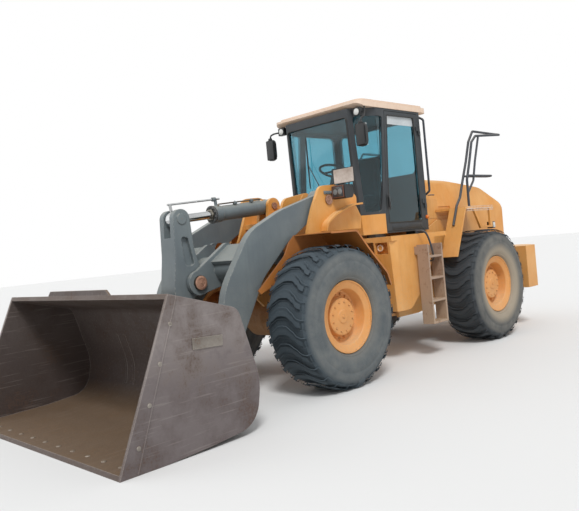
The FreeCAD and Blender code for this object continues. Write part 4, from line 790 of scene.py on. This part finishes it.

# a pale grey sheet laid over the head of the door glass
bm = bmesh.new()
addBlock(bm, spot(0.7285, 1.66, glassSizes["paleBandLow"]), spot(0.7295, 2.272, 3.105), 0)
finishPiece(bm, "door_glass_pale_band", paleGlassBand, "door")
# Door handle in its scutcheon with a lock, and the bolted strip along the sill
bm = bmesh.new()
addBlock(bm, spot(0.744, 1.53, 1.90), spot(0.752, 1.60, 2.09), 0.003)
addBlock(bm, spot(0.757, 1.553, 1.925), spot(0.772, 1.578, 2.065), 0.006, 3)
for z in (1.935, 2.045):
    addBlock(bm, spot(0.749, 1.556, z), spot(0.762, 1.575, z + 0.014), 0.002)
addTurned(bm, spot(0.752, 1.566, 2.077), (1, 0, 0), [(0, 0.005), (0.008, 0.005), (0.01, 0.003), (0.01, 0), (0, 0)])
finishPiece(bm, "door_handle", blackPlastic, "door")
bm = bmesh.new()
addBlock(bm, spot(0.7465, 1.60, 1.64), spot(0.7495, 2.27, 1.705), 0.001)
for y in (1.64, 1.93, 2.23):
    addBolt(bm, spot(0.7495, y, 1.672), (1, 0, 0), 0.007, 0.004)
for z in (1.99, 2.96):
    for dz in (-0.045, 0.045):
        addBolt(bm, spot(0.747, 2.28, z + dz), (1, 0, 0), 0.009, 0.007)
finishPiece(bm, "door_kick_strip", cabPowder, "door")
print("cab trim made")

# Deck edge: expanded strip under the guard rail, square holes punched through
deckSizes = {"x": 1.1302, "y": (2.79, 3.51), "z": (1.798, 1.866), "holes": (18, 2), "web": 0.007, "thick": 0.0035}
for side, way in (("left", 1), ("right", -1)):
    (y0, y1), (z0, z1) = deckSizes["y"], deckSizes["z"]
    bm = bmesh.new()
    bmesh.ops.create_grid(bm, x_segments=deckSizes["holes"][0], y_segments=deckSizes["holes"][1], size=0.5)
    bmesh.ops.scale(bm, vec=(y1 - y0, z1 - z0, 1), verts=bm.verts)
    bmesh.ops.rotate(bm, matrix=Matrix(((0, 0, 1), (1, 0, 0), (0, 1, 0))), verts=bm.verts)
    bmesh.ops.translate(bm, vec=spot(deckSizes["x"], (y0 + y1) / 2, (z0 + z1) / 2), verts=bm.verts)
    cells = list(bm.faces)
    bmesh.ops.inset_individual(bm, faces=cells, thickness=deckSizes["web"], depth=0.0)
    bmesh.ops.delete(bm, geom=cells, context="FACES_ONLY")
    bmesh.ops.recalc_face_normals(bm, faces=bm.faces)
    bmesh.ops.solidify(bm, geom=bm.faces, thickness=deckSizes["thick"])
    if way < 0:
        bmesh.ops.scale(bm, vec=(-1, 1, 1), verts=bm.verts)
    finishPiece(bm, "deck_strip_" + side, creamEnamel, "rear_body")

makePipes("step_handrail_left", railEnamel, "rear_body", 0.012,
          [[spot(1.0, 1.76, 1.585), spot(1.08, 1.76, 1.60), spot(1.125, 1.79, 1.55), spot(1.135, 1.85, 1.38),
            spot(1.125, 1.90, 1.23),
            spot(1.09, 1.905, 1.2), spot(1.0, 1.905, 1.2)]])
bm = bmesh.new()
for y, z in ((1.76, 1.585), (1.905, 1.2)):
    addTurned(bm, spot(1.0, y, z), (1, 0, 0),
              [(0, 0.004), (0.024, 0.004), (0.026, 0.002), (0.026, -0.001), (0, -0.001)])
finishPiece(bm, "handrail_feet", railEnamel, "rear_body")

# Horn in its niche: painted ring round the cone
hornSizes = {"at": (0.8, 1.239, 1.425), "ring": [(0.03, 0.0), (0.031, 0.006), (0.037, 0.008), (0.043, 0.005),
                                                 (0.044, -0.001), (0.03, -0.001)]}
for side, way in (("left", 1), ("right", -1)):
    bm = bmesh.new()
    x, y, z = hornSizes["at"]
    addTurned(bm, spot(way * x, y, z), (0, -1, 0), hornSizes["ring"])
    finishPiece(bm, "horn_rim_" + side, creamEnamel, "rear_body")
print("deck, rail and horn made")

# Tilt cylinder: gland flange and nut, oil pipes with clamps
tiltSizes = {"base": (0.18, 2.053), "eye": (-1.19, 1.95), "head": 0.857, "rod": 0.0455, "barrel": 0.085,
             "pipeX": 0.045, "pipeUp": 0.104}
tiltBase = spot(0, *tiltSizes["base"])
tiltWay = (spot(0, *tiltSizes["eye"]) - tiltBase).normalized()
tiltUp = Vector((0, tiltWay.z, -tiltWay.y))


def onTilt(far, side=0.0, up=0.0):
    return tiltBase + tiltWay * far + tiltUp * up + Vector((side, 0, 0))


def annulus(inner, outer, low, high, soft=0.003):
    return [(inner, low), (inner, high), (outer - soft, high), (outer, high - soft), (outer, low + soft),
            (outer - soft, low)]


r = tiltSizes["rod"] + 0.0015
bm = bmesh.new()
addTurned(bm, onTilt(tiltSizes["head"]), tiltWay, annulus(r, 0.099, 0.001, 0.022))
for k in range(10):
    a = 2 * math.pi * (k + 0.5) / 10
    addBolt(bm, onTilt(tiltSizes["head"] + 0.022, 0.082 * math.cos(a), 0.082 * math.sin(a)), tiltWay, 0.009, 0.012)
finishPiece(bm, "tilt_gland_flange", castIron, "tilt_barrel")
bm = bmesh.new()
addTurned(bm, onTilt(tiltSizes["head"]), tiltWay, annulus(0.0545, 0.067, 0.022, 0.044), 6)
addTurned(bm, onTilt(tiltSizes["head"]), tiltWay, annulus(r, 0.058, 0.03, 0.05))
finishPiece(bm, "tilt_gland_nut", zincBolt, "tilt_barrel")
pipeX, up = tiltSizes["pipeX"], tiltSizes["pipeUp"]
makePipes("tilt_pipes", turnedSteel, "tilt_barrel", 0.0085,
          [[onTilt(0.80, pipeX, 0.08), onTilt(0.80, pipeX, up), onTilt(0.76, pipeX, up), onTilt(0.22, pipeX, up),
            onTilt(0.16, pipeX, up - 0.006)],
           [onTilt(0.20, -pipeX, 0.07), onTilt(0.20, -pipeX, up), onTilt(0.17, -pipeX, up),
            onTilt(0.15, -pipeX, up)]])
bm = bmesh.new()
for far in (0.3, 0.55):
    addBlock(bm, Vector((-0.02 + pipeX, -0.018, 0)), Vector((0.02 + pipeX, 0.018, 0.032)), 0.003)
    fresh = [v for v in bm.verts if abs(v.co.z) < 0.04 and abs(v.co.y) < 0.02]
    lean = Vector((0, 0, 1)).rotation_difference(tiltUp).to_matrix().to_4x4()
    bmesh.ops.transform(bm, matrix=Matrix.Translation(onTilt(far, 0.0, tiltSizes["barrel"] - 0.004)) @ lean,
                        verts=fresh)
    addBolt(bm, onTilt(far, pipeX, tiltSizes["barrel"] + 0.027), tiltUp, 0.007, 0.008)
finishPiece(bm, "tilt_pipe_clamps", greyEnamel, "tilt_barrel")

# Pin ends: turned rings rubbed brown, a grease nipple in each
bucketPinEnd = max(abs(corner[0]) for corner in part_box("bucket_pins"))
pinSizes = {"leverPin": {"at": (-1.08, 1.265), "x": 0.2135, "radius": 0.074, "body": "lever_pin"},
            "leverTop": {"at": (-1.19, 1.95), "x": 0.1255, "radius": 0.05, "body": "lever"},
            "tiltBase": {"at": (0.18, 2.053), "x": 0.1105, "radius": 0.04, "body": "front_body"},
            "armPin": {"at": (0.49, 2.05), "x": 0.7025, "radius": 0.058, "body": "front_body"},
            "bucketPin": {"at": (-1.395, 0.375), "x": bucketPinEnd + 0.0003, "radius": 0.07, "body": "bucket_pin"}}
for name, look in pinSizes.items():
    bm = bmesh.new()
    r = look["radius"]
    for way in (1, -1):
        addTurned(bm, spot(way * look["x"], *look["at"]), (way, 0, 0),
                  [(0, 0.004), (r * 0.14, 0.004), (r * 0.2, 0.002), (r * 0.62, 0.002),
                                                                     (r * 0.66, 0.006), (r * 0.96, 0.006),
                   (r, 0.004), (r, -0.001),
                                                                     (0, -0.001)])
        addTurned(bm, spot(way * look["x"], *look["at"]), (way, 0, 0),
                  [(0, 0.013), (0.003, 0.012), (0.0035, 0.004), (0, 0.003)], 10)
    finishPiece(bm, name + "_ends", rustyRing, look["body"])

# Keeper bars bolted over the arm pins
keeperSizes = {"x": 0.6905, "thick": 0.012, "y": (0.42, 0.56), "z": (2.115, 2.155), "bolts": (0.445, 0.535)}
bm = bmesh.new()
(y0, y1), (z0, z1) = keeperSizes["y"], keeperSizes["z"]
for way in (1, -1):
    x = way * keeperSizes["x"]
    face = x + way * keeperSizes["thick"]
    low, high = sorted((x, face))
    addBlock(bm, spot(low, y0, z0), spot(high, y1, z1), 0.003)
    for y in keeperSizes["bolts"]:
        addBolt(bm, spot(face, y, (z0 + z1) / 2), (way, 0, 0), 0.012, 0.011)
finishPiece(bm, "arm_pin_keepers", greyEnamel, "front_body")
print("tilt cylinder and pins dressed")

# Bucket: blank raised plate on each side, bolt heads along the cutting edge, weld beads down the corners
bucketSizes = {"half": 1.5, "plate": (-2.19, -1.888, 0.815, 0.905), "edgeY": -2.8, "edgeBolts": 11}
for side, way in (("left", 1), ("right", -1)):
    y0, y1, z0, z1 = bucketSizes["plate"]
    x = way * bucketSizes["half"]
    bm = bmesh.new()
    low, high = sorted((x, x + way * 0.007))
    addBlock(bm, spot(low - 0.001, y0, z0), spot(high + 0.001, y1, z1), 0.002)
    face = max(bm.faces, key=lambda f: f.calc_center_median().x * way)
    bmesh.ops.inset_region(bm, faces=[face], thickness=0.008, depth=0.0)
    bmesh.ops.translate(bm, vec=(-way * 0.003, 0, 0), verts=face.verts)
    bmesh.ops.rotate(bm, cent=spot(0, (y0 + y1) / 2, (z0 + z1) / 2),
                     matrix=Matrix.Rotation(math.radians(-3), 3, "X"), verts=bm.verts)
    finishPiece(bm, "bucket_blank_plate_" + side, wornEdge, "bucket")
bm = bmesh.new()
for k in range(bucketSizes["edgeBolts"]):
    x = -1.3 + 2.6 * k / (bucketSizes["edgeBolts"] - 1)
    addTurned(bm, spot(x, bucketSizes["edgeY"], 0.0365), (0, 0, 1),
              [(0, 0.005), (0.016, 0.005), (0.022, 0.001), (0.022, -0.002), (0, -0.002)], 20)
for way in (1, -1):
    for t in (0.12, 0.36, 0.6, 0.84):
        y, z = -2.93 + 0.115 + 0.52 * t, 0.05 + 1.2 * t
        addTurned(bm, spot(way * 1.5, y, z), (way, 0, 0),
                  [(0, 0.006), (0.014, 0.006), (0.019, 0.002), (0.019, -0.002), (0, -0.002)], 20)
finishPiece(bm, "bucket_edge_bolts", wornEdge, "bucket")
makePipes("bucket_welds", bucketPlate, "bucket", 0.007,
          [[spot(way * 1.478, -2.56, 0.034), spot(way * 1.478, -2.1, 0.06)] for way in (1, -1)]
          + [[spot(way * 1.478, -1.71, 1.07), spot(way * 1.478, -2.3, 1.245)] for way in (1, -1)]
          + [[spot(way * 1.4985, -2.776, 0.012), spot(way * 1.4985, -2.298, 1.262)] for way in (1, -1)])
print("bucket dressed")

# Hood: louvres in the side recess, lift handles; slats over the radiator grille
hoodSizes = {"louvreX": 0.6255, "louvreRise": 0.008, "recessY": (2.86, 3.15), "recessZ": (1.79, 1.90), "slats": 5,
             "rearSlats": 13, "handleX": (0.645, 0.675), "handleY": (2.62, 2.75), "handleZ": 2.075}
bm = bmesh.new()
for way in (1, -1):
    (y0, y1), (z0, z1) = hoodSizes["recessY"], hoodSizes["recessZ"]
    for k in range(hoodSizes["slats"]):
        z = z0 + (z1 - z0) * (k + 0.5) / hoodSizes["slats"]
        x = way * hoodSizes["louvreX"]
        low, high = sorted((x, x + way * hoodSizes["louvreRise"]))
        addBlock(bm, spot(low, y0 + 0.006, z - 0.004), spot(high, y1 - 0.006, z + 0.005), 0.0015)
finishPiece(bm, "hood_louvres", cabPowder, "rear_body")
grilleLow, grilleHigh = (Vector(c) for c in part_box("radiator_grille"))
bm = bmesh.new()
for k in range(hoodSizes["rearSlats"]):
    z = grilleLow.z + (grilleHigh.z - grilleLow.z) * (k + 0.5) / hoodSizes["rearSlats"]
    addBlock(bm, (grilleLow.x + 0.02, grilleHigh.y - 0.004, z - 0.008),
             (grilleHigh.x - 0.02, grilleHigh.y + 0.008, z + 0.006), 0.003)
for x in (grilleLow.x + 0.01, 0.0, grilleHigh.x - 0.01):
    addBlock(bm, (x - 0.012, grilleHigh.y - 0.003, grilleLow.z + 0.01),
             (x + 0.012, grilleHigh.y + 0.012, grilleHigh.z - 0.01), 0.003)
finishPiece(bm, "grille_slats", cabPowder, "rear_body")
(x0, x1), (y0, y1), z = hoodSizes["handleX"], hoodSizes["handleY"], hoodSizes["handleZ"]
makePipes("hood_handles", railEnamel, "rear_body", 0.008,
          [[spot(way * x, y, z) for x, y in ((x0, y0), (x1, y0), (x1, y1), (x0, y1))] for way in (1, -1)])
print("hood dressed")


# Seat: foam pads under woven nylon, blown up as cloth from the CAD cushions
seatSizes = {"voxel": 0.009, "pressure": 4.0, "reach": 0.024, "shrink": 0.94}


def makeSeatPads():
    source = nodes["seat_cushions"].data.copy()
    bm = bmesh.new()
    bm.from_mesh(source)
    bmesh.ops.remove_doubles(bm, verts=bm.verts, dist=0.0001)
    bm.to_mesh(source)
    bm.free()
    pad = bpy.data.objects.new("seat_pads", source)
    bpy.context.scene.collection.objects.link(pad)
    centre = sum((v.co for v in source.vertices), Vector()) / len(source.vertices)
    for v in source.vertices:
        v.co = centre + (v.co - centre) * seatSizes["shrink"]
    remesh = pad.modifiers.new("remesh", "REMESH")
    remesh.mode = "VOXEL"
    remesh.voxel_size = seatSizes["voxel"]
    settle(pad)
    before = [v.co.copy() for v in pad.data.vertices]
    cloth = pad.modifiers.new("cloth", "CLOTH")
    cloth.settings.use_pressure = True
    cloth.settings.uniform_pressure_force = seatSizes["pressure"]
    cloth.settings.effector_weights.gravity = 0.0
    for number in range(1, 21):
        bpy.context.scene.frame_set(number)
    settle(pad)
    for v, old in zip(pad.data.vertices, before):
        step = v.co - old
        if step.length > seatSizes["reach"]:
            v.co = old + step.normalized() * seatSizes["reach"]
    bpy.context.scene.frame_set(1)
    smooth = pad.modifiers.new("smooth", "SUBSURF")
    smooth.levels = smooth.render_levels = 1
    settle(pad)
    pad.data.shade_smooth()
    pad.data.materials.clear()
    pad.data.materials.append(seatCloth)
    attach(pad, "rear_body")
    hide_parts("seat_cushions")


def settle(pad):
    # bakes the modifiers into the mesh and drops them
    depsgraph = bpy.context.evaluated_depsgraph_get()
    baked = bpy.data.meshes.new_from_object(pad.evaluated_get(depsgraph))
    pad.modifiers.clear()
    pad.data = baked


makeSeatPads()
print("seat padded")

# Oil hoses across the hinge between the halves
hoseSizes = {"radius": 0.016, "x": (-0.2, -0.13, 0.13, 0.2), "z": (0.93, 0.99)}
for k, x in enumerate(hoseSizes["x"]):
    z = hoseSizes["z"][k % 2]
    hose = makePipes("centre_hose_%d" % (k + 1), hoseRubber, "rear_body", hoseSizes["radius"],
                     [[spot(x, 1.30, z), spot(x, 1.40, z), spot(x * 0.9, 1.52, z - 0.04),
                       spot(x * 0.9, 1.68, z - 0.04), spot(x, 1.80, z),
                       spot(x, 1.90, z)]])
    route = hose.data
    mesh = bpy.data.meshes.new_from_object(hose)
    bpy.data.objects.remove(hose)
    bpy.data.curves.remove(route)
    hose = bpy.data.objects.new("centre_hose_%d" % (k + 1), mesh)
    bpy.context.scene.collection.objects.link(hose)
    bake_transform(hose)
bpy.data.meshes.remove(scratch)
print("hoses made")


# Floor, light and the photograph's viewpoint
def floorPaint():
    material, tree, shader, place = startMaterial("pale studio floor")
    shader.inputs["Base Color"].default_value = (0.8, 0.8, 0.79, 1)
    shader.inputs["Roughness"].default_value = 0.85
    shader.inputs["Specular IOR Level"].default_value = 0.1
    return material


bm = bmesh.new()
bmesh.ops.create_grid(bm, x_segments=1, y_segments=1, size=60.0)
bmesh.ops.translate(bm, vec=(0, 0, -0.001), verts=bm.verts)
mesh = bpy.data.meshes.new("studioFloor")
bm.to_mesh(mesh)
bm.free()
mesh.materials.append(floorPaint())
floor = bpy.data.objects.new("studioFloor", mesh)
bpy.context.scene.collection.objects.link(floor)

world = bpy.data.worlds.new("studio")
bpy.context.scene.world = world
world.use_nodes = True
sky = world.node_tree
sky.nodes.clear()
ray = addNode(sky, "ShaderNodeLightPath")
seen = maths(sky, "MAXIMUM", ray.outputs["Is Camera Ray"],
             maths(sky, "MAXIMUM", ray.outputs["Is Glossy Ray"], ray.outputs["Is Transmission Ray"]))
softLight = addNode(sky, "ShaderNodeBackground", {"Color": (0.97, 0.98, 1.0, 1), "Strength": 0.62}).outputs[0]
whiteBack = addNode(sky, "ShaderNodeBackground", {"Color": (1, 1, 1, 1), "Strength": 1.0}).outputs[0]
both = addNode(sky, "ShaderNodeMixShader", links={0: seen, 1: softLight, 2: whiteBack}).outputs[0]
addNode(sky, "ShaderNodeOutputWorld", links={"Surface": both})

lights = {"key": {"toLight": (0.5, -0.42, 0.78), "energy": 1.9, "spread": 14.0},
          "fill": {"toLight": (-0.75, -0.55, 0.45), "energy": 0.35, "spread": 50.0}}
for name, look in lights.items():
    lamp = bpy.data.lights.new(name, "SUN")
    lamp.energy = look["energy"]
    lamp.angle = math.radians(look["spread"])
    holder = bpy.data.objects.new(name, lamp)
    holder.rotation_euler = Vector(look["toLight"]).to_track_quat("Z", "Y").to_euler()
    bpy.context.scene.collection.objects.link(holder)

camera = bpy.data.objects.new("photographer", bpy.data.cameras.new("photographer"))
bpy.context.scene.collection.objects.link(camera)
camera.data.sensor_width = 36.0
camera.data.lens = 41.1
camera.data.clip_end = 300.0
camera.matrix_world = (Matrix.Translation(spot(5.798, -5.257, 1.585)) @ Matrix.Rotation(math.radians(45.42), 4, "Z")
                       @ Matrix.Rotation(math.radians(88.99), 4, "X") @ Matrix.Rotation(math.radians(-5.43), 4, "Z"))
bpy.context.scene.camera = camera
bpy.context.scene.view_settings.view_transform = "Standard"

print("stage set")
